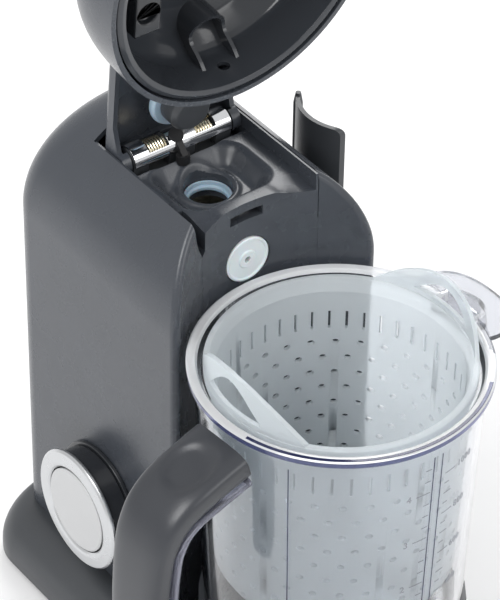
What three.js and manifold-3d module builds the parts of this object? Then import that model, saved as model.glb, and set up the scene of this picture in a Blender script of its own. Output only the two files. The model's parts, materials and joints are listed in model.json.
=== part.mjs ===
// Baby food maker: a steamer and blender with its lid open.
// Millimetres, +Z up. While it is modelled, X = 0, Y = 0 is the bowl's axis and Z = 0 is the table.
// The tower with the water tank and the motor stands at -X of the bowl, and the control knob faces -Y.
// The last lines move the origin to the bottom centre of the whole object.

import * as THREE from 'three';
import { mergeVertices } from 'three/addons/utils/BufferGeometryUtils.js';
import Module from 'manifold-3d';

const wasm = await Module();
wasm.setup();

// ---------------------------------------------------------------- driving dimensions
const GAP = 0.3; // between pieces that touch
const WALL = 2.4; // moulded casing wall

const RIM_Z = 185; // top of the bowl
const BOWL = { rimR: 62, collarR: 60.2, topR: 58.5, footR: 54.5, wall: 2.6, depth: 127 };
const SPOUT = { reach: 77, halfWidth: 22 };
const GRIP = { turn: -85.5, halfWidth: 15.5 }; // handle direction in degrees from +X
const BASKET = { rimR: 55, wallR: 52.4, footR: 50, wall: 1.8, depth: 106, earRise: 20, earHalf: 33.5 };

const TOWER = { backX: -161, halfWidth: 51.5, archZ: RIM_Z + 3.5, footZ: 25.3 };
const FACE_R = 64.6; // hollow face of the tower, round the bowl's axis
const CORNER = { face: 2.6, back: 14, top: 30 };
const RECESS = {
  endX: -127.5, halfWidth: 31, floorZ: RIM_Z + 37.5, troughX: -105.5, troughZ: RIM_Z + 30.5,
};
const SLOT_Z = RIM_Z + 22; // lower end of the two gaps beside the deck
const DECK_NOSE = 26; // half width of the deck where it meets the face
const INLET = { x: -90.5, z: RIM_Z + 28.7, r: 10.4 };
const PORT = { y: 0.7, z: RIM_Z + 9.3, r: 10.6 }; // steam outlet on the face

const HINGE = { x: -113.5, z: RIM_Z + 40.5, pinR: 2.6 };
const OPEN_ANGLE = THREE.MathUtils.degToRad(84.5);
const LID = { r: 63.2, z: RIM_Z + 3.4, height: 47, lean: 0.04, wall: 2.2, power: 3.5 };
const TAIL = { halfWidth: 29.5, top: RIM_Z + 52.6, bottom: RIM_Z + 44.4, endX: -115 };
const LINER_R = 55.5;

const KNOB = { x: -95.5, z: RIM_Z - 117.4, r: 27.9, face: -66 };
const PLINTH = {
  backX: -165, topHalf: 53.5, footHalf: 70, topZ: 25, footZ: 3.2, turretR: 49.5, turretZ: 50,
};
const MOTOR = { x: -108, r: 26, bottom: 26, top: 80 };
const TANK = { x: -110, r: 32, bottom: 112, top: 205 };
const SPATULA = { x: -95, y: 78, r: 24, top: RIM_Z + 40.5 };

// ---------------------------------------------------------------- materials
const finish = (color, roughness, metalness = 0, extra = {}) =>
  new THREE.MeshStandardMaterial({ color, roughness, metalness, ...extra });
const CLEAR = { transparent: true, opacity: 0.35 };
const CHARCOAL = finish(0x55585c, 0.45);
const DARK = finish(0x35383c, 0.4);
const GLOSS = finish(0x24262b, 0.2);
const SILVER = finish(0xc9cbcc, 0.3, 0.8);
const CHROME = finish(0xdadcde, 0.12, 1);
const STEEL = finish(0xa9abad, 0.35, 1);
const SPRING_STEEL = finish(0xb8a986, 0.3, 1);
const ALUMINIUM = finish(0xb5b7b9, 0.45, 0.9);
const CLEAR_PLASTIC = finish(0xdfe4ea, 0.08, 0, CLEAR);
const MILKY_PLASTIC = finish(0xd9e4ea, 0.35, 0, CLEAR);
const SILICONE = finish(0x9fb6c6, 0.5);
const WHITE_SILICONE = finish(0xe3e8ea, 0.5);
const RUBBER = finish(0x1c1c1d, 0.8);
const NATURAL_PLASTIC = finish(0xcfcabb, 0.5);
const BOARD = finish(0x1f6b3d, 0.5);

// ---------------------------------------------------------------- solids
// A geometry with merged corners and no flat triangles, facing out, as a manifold-3d solid.
function toSolid(geometry) {
  const bare = new THREE.BufferGeometry();
  bare.setAttribute('position', geometry.attributes.position);
  bare.setIndex(geometry.index);
  const merged = mergeVertices(bare, 1e-4);
  const points = merged.attributes.position;
  const corners = [0, 1, 2].map(() => new THREE.Vector3());
  let triangles = [];
  let volume = 0;
  for (let i = 0; i < merged.index.count; i += 3) {
    const [a, b, c] = [0, 1, 2].map((k) => merged.index.getX(i + k));
    if (a === b || b === c || c === a) continue;
    triangles.push([a, b, c]);
    [a, b, c].forEach((v, k) => corners[k].fromBufferAttribute(points, v));
    volume += corners[0].dot(corners[1].clone().cross(corners[2]));
  }
  if (volume < 0) triangles = triangles.map(([a, b, c]) => [a, c, b]);
  return new wasm.Manifold(new wasm.Mesh({
    numProp: 3,
    vertProperties: new Float32Array(points.array),
    triVerts: new Uint32Array(triangles.flat()),
  }));
}

function toGeometry(body) {
  const mesh = body.getMesh();
  const geometry = new THREE.BufferGeometry();
  geometry.setAttribute('position', new THREE.BufferAttribute(mesh.vertProperties, 3));
  geometry.setIndex(new THREE.BufferAttribute(mesh.triVerts, 1));
  return geometry;
}

const combine = (how) => (first, ...others) =>
  toGeometry(others.reduce((body, other) => body[how](toSolid(other)), toSolid(first)));
const join = combine('add');
const cut = combine('subtract');
const common = combine('intersect');

// ---------------------------------------------------------------- shapes
const vec = (x, y, z) => new THREE.Vector3(x, y, z);
const [AX, AY, AZ] = [vec(1, 0, 0), vec(0, 1, 0), vec(0, 0, 1)];
const PLANES = {
  xy: new THREE.Matrix4().makeBasis(AX, AY, AZ),
  yz: new THREE.Matrix4().makeBasis(AY, AZ, AX),
  xz: new THREE.Matrix4().makeBasis(AX, AZ, AY.clone().negate()),
};

// A straight prism of a flat outline, along the axis that its plane leaves out.
function prism(outline, plane, from, to, segments = 10) {
  const options = { depth: to - from, bevelEnabled: false, curveSegments: segments };
  const geometry = new THREE.ExtrudeGeometry(outline, options);
  geometry.translate(0, 0, plane === 'xz' ? -to : from);
  return geometry.applyMatrix4(PLANES[plane]);
}

const polygon = (...points) => new THREE.Shape(points.map(([x, y]) => new THREE.Vector2(x, y)));
const circle = (x, y, r) => new THREE.Shape().absarc(x, y, r, 0, Math.PI * 2);

function block(x, y, z) {
  const geometry = new THREE.BoxGeometry(x[1] - x[0], y[1] - y[0], z[1] - z[0]);
  return geometry.translate((x[0] + x[1]) / 2, (y[0] + y[1]) / 2, (z[0] + z[1]) / 2);
}

// A profile of [radius, height] points turned round the Z axis through (x, y).
function revolve(profile, segments = 24, x = 0, y = 0) {
  const onAxis = profile[0][0] === 0;
  const points = (onAxis ? profile : [...profile, profile[0]]).map(([r, z]) => new THREE.Vector2(r, z));
  return new THREE.LatheGeometry(points, segments).rotateX(Math.PI / 2).translate(x, y, 0);
}
const disc = (r, bottom, top, x = 0, y = 0, segments = 16) =>
  revolve([[0, bottom], [r, bottom], [r, top], [0, top]], segments, x, y);
const ring = (inner, outer, bottom, top, x = 0, y = 0, segments = 20) =>
  revolve([[inner, bottom], [outer, bottom], [outer, top], [inner, top]], segments, x, y);

// The same along Y (a profile's height is then how far it stands out towards -Y) and along X.
const revolveOut = (profile, x, z, segments = 24) =>
  revolve(profile, segments).rotateX(Math.PI / 2).translate(x, 0, z);
const revolveAhead = (profile, y, z, segments = 20) =>
  revolve(profile, segments).rotateY(Math.PI / 2).translate(0, y, z);
const rodAlongY = (r, x, z, from, to, segments = 6) => prism(circle(x, z, r), 'xz', from, to, segments);

// A skin over closed rings of points that follow each other, with a flat fan over each end.
function loft(rings) {
  const count = rings[0].length;
  const points = rings.flat();
  const index = [];
  for (let i = 0; i < rings.length - 1; i++) {
    for (let j = 0; j < count; j++) {
      const [a, b] = [i * count + j, i * count + ((j + 1) % count)];
      index.push(a, b, b + count, a, b + count, a + count);
    }
  }
  for (const [end, start] of [[0, 0], [rings.length - 1, (rings.length - 1) * count]]) {
    const centre = rings[end].reduce((sum, p) => sum.add(p), vec(0, 0, 0)).divideScalar(count);
    points.push(centre);
    for (let j = 0; j < count; j++) {
      const [a, b] = [start + j, start + ((j + 1) % count)];
      index.push(...(end ? [a, b, points.length - 1] : [b, a, points.length - 1]));
    }
  }
  const geometry = new THREE.BufferGeometry().setFromPoints(points);
  return geometry.setIndex(index);
}

function tube(points, r, sides = 8, steps = 24) {
  const extrudePath = new THREE.CatmullRomCurve3(points);
  return new THREE.ExtrudeGeometry(circle(0, 0, r), { extrudePath, steps, curveSegments: sides });
}

// A rounded box outline, width by height about its centre, that bulges to a power: 2 is an ellipse.
function squircle(halfWidth, halfHeight, power, count) {
  return Array.from({ length: count }, (_, i) => {
    const angle = (i / count) * 2 * Math.PI;
    const bend = (value) => Math.sign(value) * Math.abs(value) ** (2 / power);
    return [halfWidth * bend(Math.cos(angle)), halfHeight * bend(Math.sin(angle))];
  });
}

// ---------------------------------------------------------------- scene graph
const machine = new THREE.Group();
const lid = new THREE.Group();
lid.position.set(HINGE.x, 0, HINGE.z);
lid.rotation.y = -OPEN_ANGLE;
machine.add(lid);

function add(name, geometry, material) {
  const mesh = new THREE.Mesh(geometry, material);
  mesh.name = name;
  machine.add(mesh);
}

// Lid pieces are shaped where they are with the lid shut, and the group opens it.
function addToLid(name, geometry, material) {
  const mesh = new THREE.Mesh(geometry.translate(-HINGE.x, 0, -HINGE.z), material);
  mesh.name = name;
  lid.add(mesh);
}

// ---------------------------------------------------------------- tower
// The tower's outer form, or the hollow inside it when inset by the wall.
function towerForm(inset) {
  const half = TOWER.halfWidth - inset;
  const back = TOWER.backX + inset;
  const arch = new THREE.Shape();
  arch.moveTo(-half, 0);
  arch.lineTo(half, 0);
  arch.lineTo(half, TOWER.archZ);
  arch.absarc(0, TOWER.archZ, half, 0, Math.PI);

  // Plan: a hollow arc round the bowl, small rounds beside it, and bigger rounds at the back.
  const faceR = FACE_R + inset;
  const round = CORNER.face;
  const roundY = half - round;
  const roundX = -Math.sqrt((faceR + round) ** 2 - roundY ** 2);
  const touch = Math.atan2(roundY, -roundX);
  const r = CORNER.back - inset;
  const plan = new THREE.Shape();
  plan.moveTo(back + r, -half);
  plan.lineTo(roundX, -half);
  plan.absarc(roundX, -roundY, round, -Math.PI / 2, touch);
  plan.absarc(0, 0, faceR, Math.PI + touch, Math.PI - touch, true);
  plan.absarc(roundX, roundY, round, -touch, Math.PI / 2);
  plan.lineTo(back + r, half);
  plan.absarc(back + r, half - r, r, Math.PI / 2, Math.PI);
  plan.absarc(back + r, -half + r, r, Math.PI, Math.PI * 1.5);

  const top = TOWER.archZ + half;
  const bend = CORNER.top - inset;
  const side = new THREE.Shape();
  side.moveTo(0, 0);
  side.lineTo(0, top);
  side.lineTo(back + bend, top);
  side.absarc(back + bend, top - bend, bend, Math.PI / 2, Math.PI);
  side.lineTo(back, 0);

  const foot = inset ? TOWER.footZ - 1 : TOWER.footZ;
  return common(
    prism(arch, 'yz', back, 0, 14),
    prism(plan, 'xy', foot, top + 1, 5),
    prism(side, 'xz', -half - 1, half + 1, 4),
  );
}

const towerOuter = towerForm(0);
const faceStrip = RECESS.halfWidth;

function towerShell() {
  const strip = block([-80, 0], [-faceStrip, faceStrip], [0, RIM_Z + 80]);
  const recess = block([RECESS.endX, 0], [-faceStrip, faceStrip], [RECESS.troughZ - 1, RIM_Z + 80]);
  const knobHole = rodAlongY(14, KNOB.x, KNOB.z, -60, -40, 8);
  return cut(towerOuter, towerForm(WALL), strip, recess, knobHole);
}
add('tower_shell', towerShell(), CHARCOAL);

// The hollow face and the deck on top of it are one moulding.
function frontFace() {
  const half = faceStrip - GAP;
  const backing = FACE_R + WALL;
  const sheet = common(
    ring(FACE_R, backing, TOWER.footZ, SLOT_Z + 1, 0, 0, 64),
    block([-90, 0], [-half, half], [0, SLOT_Z]),
  );
  const floor = RECESS.floorZ;
  const slab = common(
    ring(FACE_R, 140, SLOT_Z - 2, floor, 0, 0, 64),
    join(
      block([RECESS.endX + GAP, -50], [-DECK_NOSE, DECK_NOSE], [0, floor]),
      block([RECESS.endX + GAP, -79], [-half, half], [0, floor]),
    ),
  );
  const trough = block([-140, RECESS.troughX], [-40, 40], [RECESS.troughZ, floor + 10]);
  const funnel = revolve([
    [0, INLET.z], [13, INLET.z], [14.5, INLET.z + 0.8], [18, INLET.z + 4.4],
    [21.5, INLET.z + 7.4], [25.5, floor + 0.2], [25.5, floor + 5], [0, floor + 5],
  ], 24, INLET.x);
  const rim = ring(INLET.r, INLET.r + 1.5, INLET.z - 1, INLET.z + 0.7, INLET.x);
  const mouth = disc(INLET.r, SLOT_Z - 10, floor + 1, INLET.x, 0, 24);
  const under = block(
    [RECESS.endX + 3, RECESS.troughX - 2], [-28, 28], [SLOT_Z - 3, RECESS.troughZ - 2.4],
  );
  const latchSlot = block([-70, -60], [-8.6, 7.3], [RIM_Z + 29.6, RIM_Z + 34.7]);
  const seat = revolveAhead([
    [0, -66.1], [PORT.r + 0.6, -66.1], [PORT.r + 0.6, -60], [0, -60],
  ], PORT.y, PORT.z);
  const port = revolveAhead([[0, -70], [3.6, -70], [3.6, -60], [0, -60]], PORT.y, PORT.z, 12);
  const deck = cut(join(cut(slab, trough, funnel), rim), mouth, under, latchSlot);
  return cut(join(cut(sheet, seat, port), deck));
}
add('front_face', frontFace(), CHARCOAL);

add('inlet_seal', revolve([
  [8.4, INLET.z - 6.5], [INLET.r - GAP, INLET.z - 6.5], [INLET.r - GAP, INLET.z - 0.4],
  [9.3, INLET.z - 0.4], [9.3, INLET.z - 3.2], [8.4, INLET.z - 3.8],
], 24, INLET.x), SILICONE);

// White disc with a raised lip and a short sleeve through the face.
const steamBore = revolveAhead([[0, -75], [1.5, -75], [1.5, -55], [0, -55]], PORT.y, PORT.z, 12);
add('steam_seal', cut(revolveAhead([
  [0, -69.5], [3.1, -69.5], [3.1, -65.8], [PORT.r, -65.8], [PORT.r, -64.2], [PORT.r - 1.2, -63.8],
  [PORT.r - 2.2, -64.6], [4.4, -64.6], [3.6, -64], [0, -64],
], PORT.y, PORT.z), steamBore), WHITE_SILICONE);

// ---------------------------------------------------------------- water and steam
add('water_tank', revolve([
  [0, TANK.bottom], [TANK.r - 4, TANK.bottom], [TANK.r, TANK.bottom + 4], [TANK.r, TANK.top - 2],
  [TANK.r - 2, TANK.top - 2], [TANK.r - 2, TANK.bottom + 5], [TANK.r - 5, TANK.bottom + 2],
  [0, TANK.bottom + 2],
], 24, TANK.x), NATURAL_PLASTIC);
add('heater_plate', disc(TANK.r - 5, TANK.bottom - 6, TANK.bottom - GAP, TANK.x), ALUMINIUM);
add('heater_coil', ring(15, 22, TANK.bottom - 12, TANK.bottom - 6 - GAP, TANK.x, 0, 20), STEEL);
add('steam_pipe', cut(
  tube([vec(-73.6, 0.7, 116), vec(-73.6, 0.7, 150), vec(-73.6, 0.7, 184), vec(-73, 0.7, 191),
    vec(-72.6, 0.7, PORT.z - 1.4)], 3, 4, 10),
  tube([vec(-73.6, 0.7, 115), vec(-73.6, 0.7, 150), vec(-73.6, 0.7, 184), vec(-73, 0.7, 191),
    vec(-71.6, 0.7, PORT.z - 0.4)], 1.9, 4, 10),
), WHITE_SILICONE);

// ---------------------------------------------------------------- hinge
// Three knuckles on one foot, across the trough.
function hingeBracket() {
  const foot = block(
    [HINGE.x - 8, HINGE.x + 5], [-24.5, 24.5], [RECESS.troughZ + GAP, RECESS.troughZ + 3],
  );
  const parts = [[-24.5, -17.5], [-6.2, 6.2], [17.5, 24.5]].map(([from, to]) =>
    join(
      rodAlongY(5.4, HINGE.x, HINGE.z, from, to, 6),
      block([HINGE.x - 5.4, HINGE.x + 2], [from, to], [RECESS.troughZ + 1, HINGE.z]),
    ));
  const bore = rodAlongY(HINGE.pinR + GAP, HINGE.x, HINGE.z, -40, 40, 6);
  return cut(join(foot, ...parts), bore);
}
add('hinge_bracket', hingeBracket(), DARK);
add('hinge_pin', rodAlongY(HINGE.pinR, HINGE.x, HINGE.z, -28.8, 28.8, 8), CHROME);

// A torsion spring wound round the pin, with one straight leg that leans back on the bracket.
function torsionSpring(side) {
  const [turns, stepsPerTurn, coilR, wire] = [5, 7, 3.9, 0.6];
  const points = [];
  for (let i = 0; i <= turns * stepsPerTurn; i++) {
    const angle = (i / stepsPerTurn) * 2 * Math.PI;
    const y = side * (8 + (7.6 * i) / (turns * stepsPerTurn));
    points.push(vec(HINGE.x + coilR * Math.sin(angle), y, HINGE.z + coilR * Math.cos(angle)));
  }
  return tube(points, wire, 2, turns * stepsPerTurn);
}
add('hinge_spring_front', torsionSpring(-1), SPRING_STEEL);
add('hinge_spring_back', torsionSpring(1), SPRING_STEEL);

// Black rubber stop: two round pads in line on the centre knuckle.
add('hinge_bumper', join(...[0.4, 3].map((ahead) =>
  disc(2.4, HINGE.z + 5.4 + GAP, HINGE.z + 6.9, HINGE.x + ahead, 0, 14))), RUBBER);

// ---------------------------------------------------------------- plinth and drive
// Plan outline at one height: straight sides, a half circle round the bowl and rounded back corners.
function plinthRing(half, back, z, inset = 0) {
  const h = half - inset;
  const corner = 22;
  const outline = new THREE.Shape();
  outline.moveTo(0, -h);
  outline.absarc(0, 0, h, -Math.PI / 2, 0);
  outline.absarc(0, 0, h, 0, Math.PI / 2);
  outline.lineTo(back + inset + corner, h);
  outline.absarc(back + inset + corner, h - corner, corner, Math.PI / 2, Math.PI);
  outline.absarc(back + inset + corner, corner - h, corner, Math.PI, Math.PI * 1.5);
  return outline.extractPoints(5).shape.map((p) => vec(p.x, p.y, z));
}
// The skirt swells out from the tower's foot and drops straight to the table.
function plinthForm(inset) {
  const { topHalf, footHalf, topZ, footZ, backX } = PLINTH;
  const levels = [0, 0.4, 0.75, 1].map((t) => {
    const bulge = Math.sin((t * Math.PI) / 2);
    const half = topHalf + (footHalf - topHalf) * bulge;
    const z = topZ - inset - (topZ - inset - footZ - 4) * (1 - Math.cos((t * Math.PI) / 2));
    return plinthRing(half, backX + 3 - 3 * bulge, z, inset);
  });
  levels.push(plinthRing(footHalf, backX, inset ? footZ - 1 : footZ, inset));
  return loft(levels);
}
function plinth() {
  const { turretR, turretZ, topZ } = PLINTH;
  const turret = revolve([
    [0, topZ - 5], [turretR + 3.5, topZ - 5], [turretR + 3.5, 35.7], [turretR, 35.7],
    [turretR, turretZ - 1.5], [turretR - 1.5, turretZ], [0, turretZ],
  ], 36);
  const turretInside = disc(turretR - WALL, 0, turretZ - 3, 0, 0, 36);
  const shaftHole = disc(14, 0, 60, 0, 0, 24);
  const motorHole = disc(MOTOR.r + 3, 15, 30, MOTOR.x, 0, 24);
  const gland = prism(circle(30, 14, 6.4), 'yz', -180, -150, 10);
  return cut(join(plinthForm(0), turret), plinthForm(WALL), turretInside, shaftHole, motorHole, gland);
}
add('plinth', plinth(), DARK);

const FOOT_PLACES = {
  front_left: [-140, -46], front_right: [18, -46], back_left: [-140, 46], back_right: [18, 46],
};
const plateOutline = new THREE.Shape(
  plinthRing(PLINTH.footHalf, PLINTH.backX, 0, WALL + GAP).map((p) => new THREE.Vector2(p.x, p.y)),
);
const screwHoles = Object.values(FOOT_PLACES).map(([x, y]) => disc(1.9, 0, 20, x + 12, y * 0.8, 8));
add('base_plate', cut(
  prism(plateOutline, 'xy', PLINTH.footZ, PLINTH.footZ + 2.4), ...screwHoles,
), DARK);
for (const [place, [x, y]] of Object.entries(FOOT_PLACES)) {
  add(`foot_${place}`, disc(8, 0, PLINTH.footZ - GAP, x, y, 16), RUBBER);
  add(`base_screw_${place}`, join(
    disc(3.4, 1.4, PLINTH.footZ - GAP, x + 12, y * 0.8, 10),
    disc(1.6, 2, 11, x + 12, y * 0.8, 8),
  ), STEEL);
}

const BELT_Z = [11, 17];
const PULLEY = { motorR: 9, driveR: 34 };
add('motor_frame', cut(
  block([-142, 26], [-24, 24], [19, 22]),
  disc(7, 10, 30, MOTOR.x, 0, 20), disc(8 + GAP, 10, 30, 0, 0, 24),
), STEEL);
add('motor_body', cut(
  revolve([[0, MOTOR.bottom], [MOTOR.r, MOTOR.bottom], [MOTOR.r, MOTOR.top - 4], [MOTOR.r - 5, MOTOR.top],
    [0, MOTOR.top]], 24, MOTOR.x),
  disc(2.5 + GAP, 0, MOTOR.top - 20, MOTOR.x, 0, 14),
), STEEL);
add('motor_shaft', disc(2.5, 9, 55, MOTOR.x, 0, 14), CHROME);
add('motor_pulley', ring(2.5 + GAP, PULLEY.motorR, 10, 18, MOTOR.x, 0, 24), NATURAL_PLASTIC);
add('drive_pulley', cut(ring(3 + GAP, PULLEY.driveR, 10, 18, 0, 0, 32), ...[0, 1, 2, 3].map((i) => {
  const angle = (i * Math.PI) / 2 + Math.PI / 4;
  return disc(8, 5, 30, 18 * Math.cos(angle), 18 * Math.sin(angle), 10);
})), NATURAL_PLASTIC);

// The belt runs straight between two arcs that clear the pulleys.
function beltLoop(extra) {
  const [a, b] = [PULLEY.driveR + extra, PULLEY.motorR + extra];
  const lean = Math.acos((a - b) / Math.abs(MOTOR.x));
  const loop = new THREE.Shape();
  loop.absarc(0, 0, a, -(Math.PI - lean), Math.PI - lean);
  loop.absarc(MOTOR.x, 0, b, Math.PI - lean, Math.PI + lean);
  return loop;
}
add('drive_belt', cut(
  prism(beltLoop(2.2), 'xy', ...BELT_Z, 12), prism(beltLoop(0.6), 'xy', BELT_Z[0] - 1, BELT_Z[1] + 1, 12),
), RUBBER);
add('shaft_bearing_lower', ring(3 + GAP, 8, PLINTH.footZ + 2.4 + GAP, 9.4), STEEL);
add('shaft_bearing_upper', ring(3 + GAP, 8, 19, 26), STEEL);
add('drive_shaft', disc(3, 6.2, 37.7, 0, 0, 14), CHROME);
add('drive_coupler', cut(
  disc(12, 38, 48.5, 0, 0, 20), disc(9.2, 43.5, 60),
), RUBBER);
add('cord_gland', cut(
  revolve([[0, -2.5], [9, -2.5], [9, 0], [6, 0], [6, 4.5], [0, 4.5]], 16).rotateY(Math.PI / 2)
    .translate(PLINTH.backX - GAP, 30, 14),
  prism(circle(30, 14, 3.2), 'yz', -180, -150),
), RUBBER);

// ---------------------------------------------------------------- controls
const PANEL = -TOWER.halfWidth;
add('knob_base_ring', revolveOut([
  [22, -PANEL + GAP], [26.6, -PANEL + GAP], [26.6, -PANEL + 2], [22, -PANEL + 2],
], KNOB.x, KNOB.z), GLOSS);
add('knob_body', cut(revolveOut([
  [0, -PANEL + 2.3], [25.6, -PANEL + 2.3], [25.6, -KNOB.face - 3], [23.5, -KNOB.face - 2.2],
  [0, -KNOB.face - 2.2],
], KNOB.x, KNOB.z), revolveOut([
  [0, -KNOB.face - 6], [19.4, -KNOB.face - 6], [19.4, -KNOB.face + 3], [0, -KNOB.face + 3],
], KNOB.x, KNOB.z)), GLOSS);
add('knob_bezel', revolveOut([
  [20.2, -KNOB.face - 1.9], [24, -KNOB.face - 1.9], [25.9, -KNOB.face - 2.7],
  [KNOB.r, -KNOB.face - 2.7],
  [KNOB.r, -KNOB.face - 1.4], [KNOB.r - 1.4, -KNOB.face], [20.2, -KNOB.face],
], KNOB.x, KNOB.z, 28), SILVER);
add('knob_button', revolveOut([
  [0, -KNOB.face - 3], [17, -KNOB.face - 3], [17, -KNOB.face - 1.2], [19, -KNOB.face - 1.2],
  [19, -KNOB.face - 0.6], [18.4, -KNOB.face - 0.2], [0, -KNOB.face],
], KNOB.x, KNOB.z), SILVER);
add('knob_spindle', revolveOut([
  [0, 38], [4, 38], [4, -PANEL + 2], [0, -PANEL + 2],
], KNOB.x, KNOB.z, 16), STEEL);
add('knob_switch', cut(
  block([KNOB.x - 13, KNOB.x + 13], [-48.5, -36], [KNOB.z - 13, KNOB.z + 13]),
  rodAlongY(4.5, KNOB.x, KNOB.z, -60, -37, 6),
), NATURAL_PLASTIC);
add('control_board', block([KNOB.x - 26, KNOB.x + 26], [-35.7, -34.1], [KNOB.z - 20, KNOB.z + 30]), BOARD);

// ---------------------------------------------------------------- bowl
add('bowl_lock_ring', ring(PLINTH.turretR + GAP, 53.2, 36, 42, 0, 0, 36), DARK);

const BOWL_FOOT = RIM_Z - BOWL.depth;
// Clear bowl: a cup with a stepped rim, a flat pouring lobe at the back and three inner rests.
function bowl() {
  const { rimR, collarR, topR, footR, wall } = BOWL;
  const cup = revolve([
    [0, BOWL_FOOT], [footR - 2, BOWL_FOOT], [footR, BOWL_FOOT + 2], [topR, RIM_Z - 9.5],
    [collarR, RIM_Z - 9.5], [collarR, RIM_Z - 3.6], [rimR, RIM_Z - 3.6], [rimR, RIM_Z],
    [rimR - 4.4, RIM_Z], [topR - wall, RIM_Z - 3.6], [footR - wall, BOWL_FOOT + 6],
    [footR - wall - 4, BOWL_FOOT + 3], [0, BOWL_FOOT + 3],
  ], 40);
  const lobe = new THREE.Shape();
  lobe.moveTo(-SPOUT.halfWidth, 56.5);
  lobe.lineTo(SPOUT.halfWidth, 56.5);
  lobe.bezierCurveTo(SPOUT.halfWidth, SPOUT.reach, 10, SPOUT.reach, 0, SPOUT.reach);
  lobe.bezierCurveTo(-10, SPOUT.reach, -SPOUT.halfWidth, SPOUT.reach, -SPOUT.halfWidth, 56.5);
  const lip = cut(prism(lobe, 'xy', RIM_Z - 2.6, RIM_Z, 8), disc(59, 0, 300, 0, 0, 40));
  const rests = [30, 150, 270].map((degrees) => {
    const angle = THREE.MathUtils.degToRad(degrees);
    return block([53.6, 57], [-4, 4], [RIM_Z - 10, RIM_Z - 6.2]).rotateZ(angle);
  });
  return cut(join(cup, lip, ...rests), disc(9, 0, 80, 0, 0, 24));
}
add('bowl', bowl(), CLEAR_PLASTIC);
add('bowl_base_collar', ring(50.4, 56.5, 42.3, BOWL_FOOT - GAP, 0, 0, 36), DARK);
add('blade_bush', ring(3 + GAP, 9 - GAP, 52, 63.5), RUBBER);

// The handle leaves the bowl below its rim, bends down and ends free. Rings follow its centre line.
const GRIP_PATH = [
  // [out from the bowl's axis, height above the rim, lean in degrees, half width, half thickness]
  [60.6, -15.5, 15, 15.5, 9.5], [70, -18, 17, 15.4, 9.5], [80, -21.2, 20, 15.2, 9.2],
  [88, -25.4, 34, 14.8, 8.8], [93.4, -32.5, 56, 14.2, 8.2], [96.2, -43, 74, 13.7, 7.8],
  [97.7, -58, 83, 13.3, 7.6], [98.4, -76, 89, 13.1, 7.5], [97.6, -94, 95, 13, 7.3],
  [95.6, -108, 100, 12.6, 6.8], [94.2, -114.5, 102, 10.5, 5],
];
// The part of the grip between two depths: -1 is the side towards the bowl and 1 is the outer side.
function alongGrip(widthShare, from, to) {
  const rings = GRIP_PATH.map(([out, down, leanDegrees, halfWidth, halfThickness]) => {
    const lean = THREE.MathUtils.degToRad(leanDegrees);
    const middle = (halfThickness * (from + to)) / 2;
    return squircle(halfWidth * widthShare, (halfThickness * (to - from)) / 2, 3.2, 12).map(([w, t]) =>
      vec(out + (middle + t) * Math.sin(lean), w, RIM_Z + down + (middle + t) * Math.cos(lean)));
  });
  return loft(rings).rotateZ(THREE.MathUtils.degToRad(GRIP.turn));
}
const bowlClear = disc(BOWL.collarR + GAP, 0, RIM_Z + 5, 0, 0, 48);
add('handle_cover', cut(alongGrip(1, -0.42, 1), bowlClear), CHARCOAL);
add('handle_core', cut(alongGrip(0.86, -1, -0.5), bowlClear), CLEAR_PLASTIC);

// ---------------------------------------------------------------- steam basket
function steamBasket() {
  const { rimR, wallR, footR, wall, depth, earRise, earHalf } = BASKET;
  const floor = RIM_Z - depth;
  const cup = revolve([
    [0, floor], [38, floor], [44.5, floor + 1.2], [48.6, floor + 4.5], [footR, floor + 10],
    [wallR, RIM_Z - 6], [rimR, RIM_Z - 5.7], [rimR, RIM_Z], [rimR - 1.6, RIM_Z],
    [wallR - wall, RIM_Z - 5], [footR - wall, floor + 10.5], [48.6 - wall, floor + 5.6],
    [44 - wall, floor + 2.9], [38, floor + wall], [0, floor + wall],
  ], 32);
  // Two carrying ears stand on the rim, each with a pointed finger hole below its top edge.
  const arch = new THREE.Shape();
  arch.moveTo(-earHalf, RIM_Z - 2);
  arch.lineTo(earHalf, RIM_Z - 2);
  arch.quadraticCurveTo(20, RIM_Z + earRise, 0, RIM_Z + earRise);
  arch.quadraticCurveTo(-20, RIM_Z + earRise, -earHalf, RIM_Z - 2);
  const hole = new THREE.Shape();
  hole.moveTo(-15, RIM_Z + 2.5);
  hole.lineTo(15, RIM_Z + 2.5);
  hole.quadraticCurveTo(10, RIM_Z + earRise - 4.5, 0, RIM_Z + earRise - 4.5);
  hole.quadraticCurveTo(-10, RIM_Z + earRise - 4.5, -15, RIM_Z + 2.5);
  const band = ring(rimR - 1.9, rimR, RIM_Z - 3, RIM_Z + 30, 0, 0, 32);
  const ears = common(band, prism(arch, 'xz', -70, 70, 6));
  const holes = [prism(hole, 'xz', -70, 70, 6)];
  for (const [count, radius] of [[3, 9], [6, 20], [8, 31]]) {
    for (let i = 0; i < count; i++) {
      const angle = (i / count) * 2 * Math.PI;
      holes.push(disc(2.2, floor - 5, floor + 5, radius * Math.cos(angle), radius * Math.sin(angle), 6));
    }
  }
  return cut(join(cup, ears), ...holes);
}
add('steam_basket', steamBasket(), MILKY_PLASTIC);

// ---------------------------------------------------------------- blades
add('blade_hub', join(
  disc(3, 46, 65, 0, 0, 14), disc(7, 63.8, 74, 0, 0, 20),
  block([-8, 8], [-2.2, 2.2], [44.5, 50]), block([-2.2, 2.2], [-8, 8], [44.5, 50]),
), STEEL);
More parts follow.
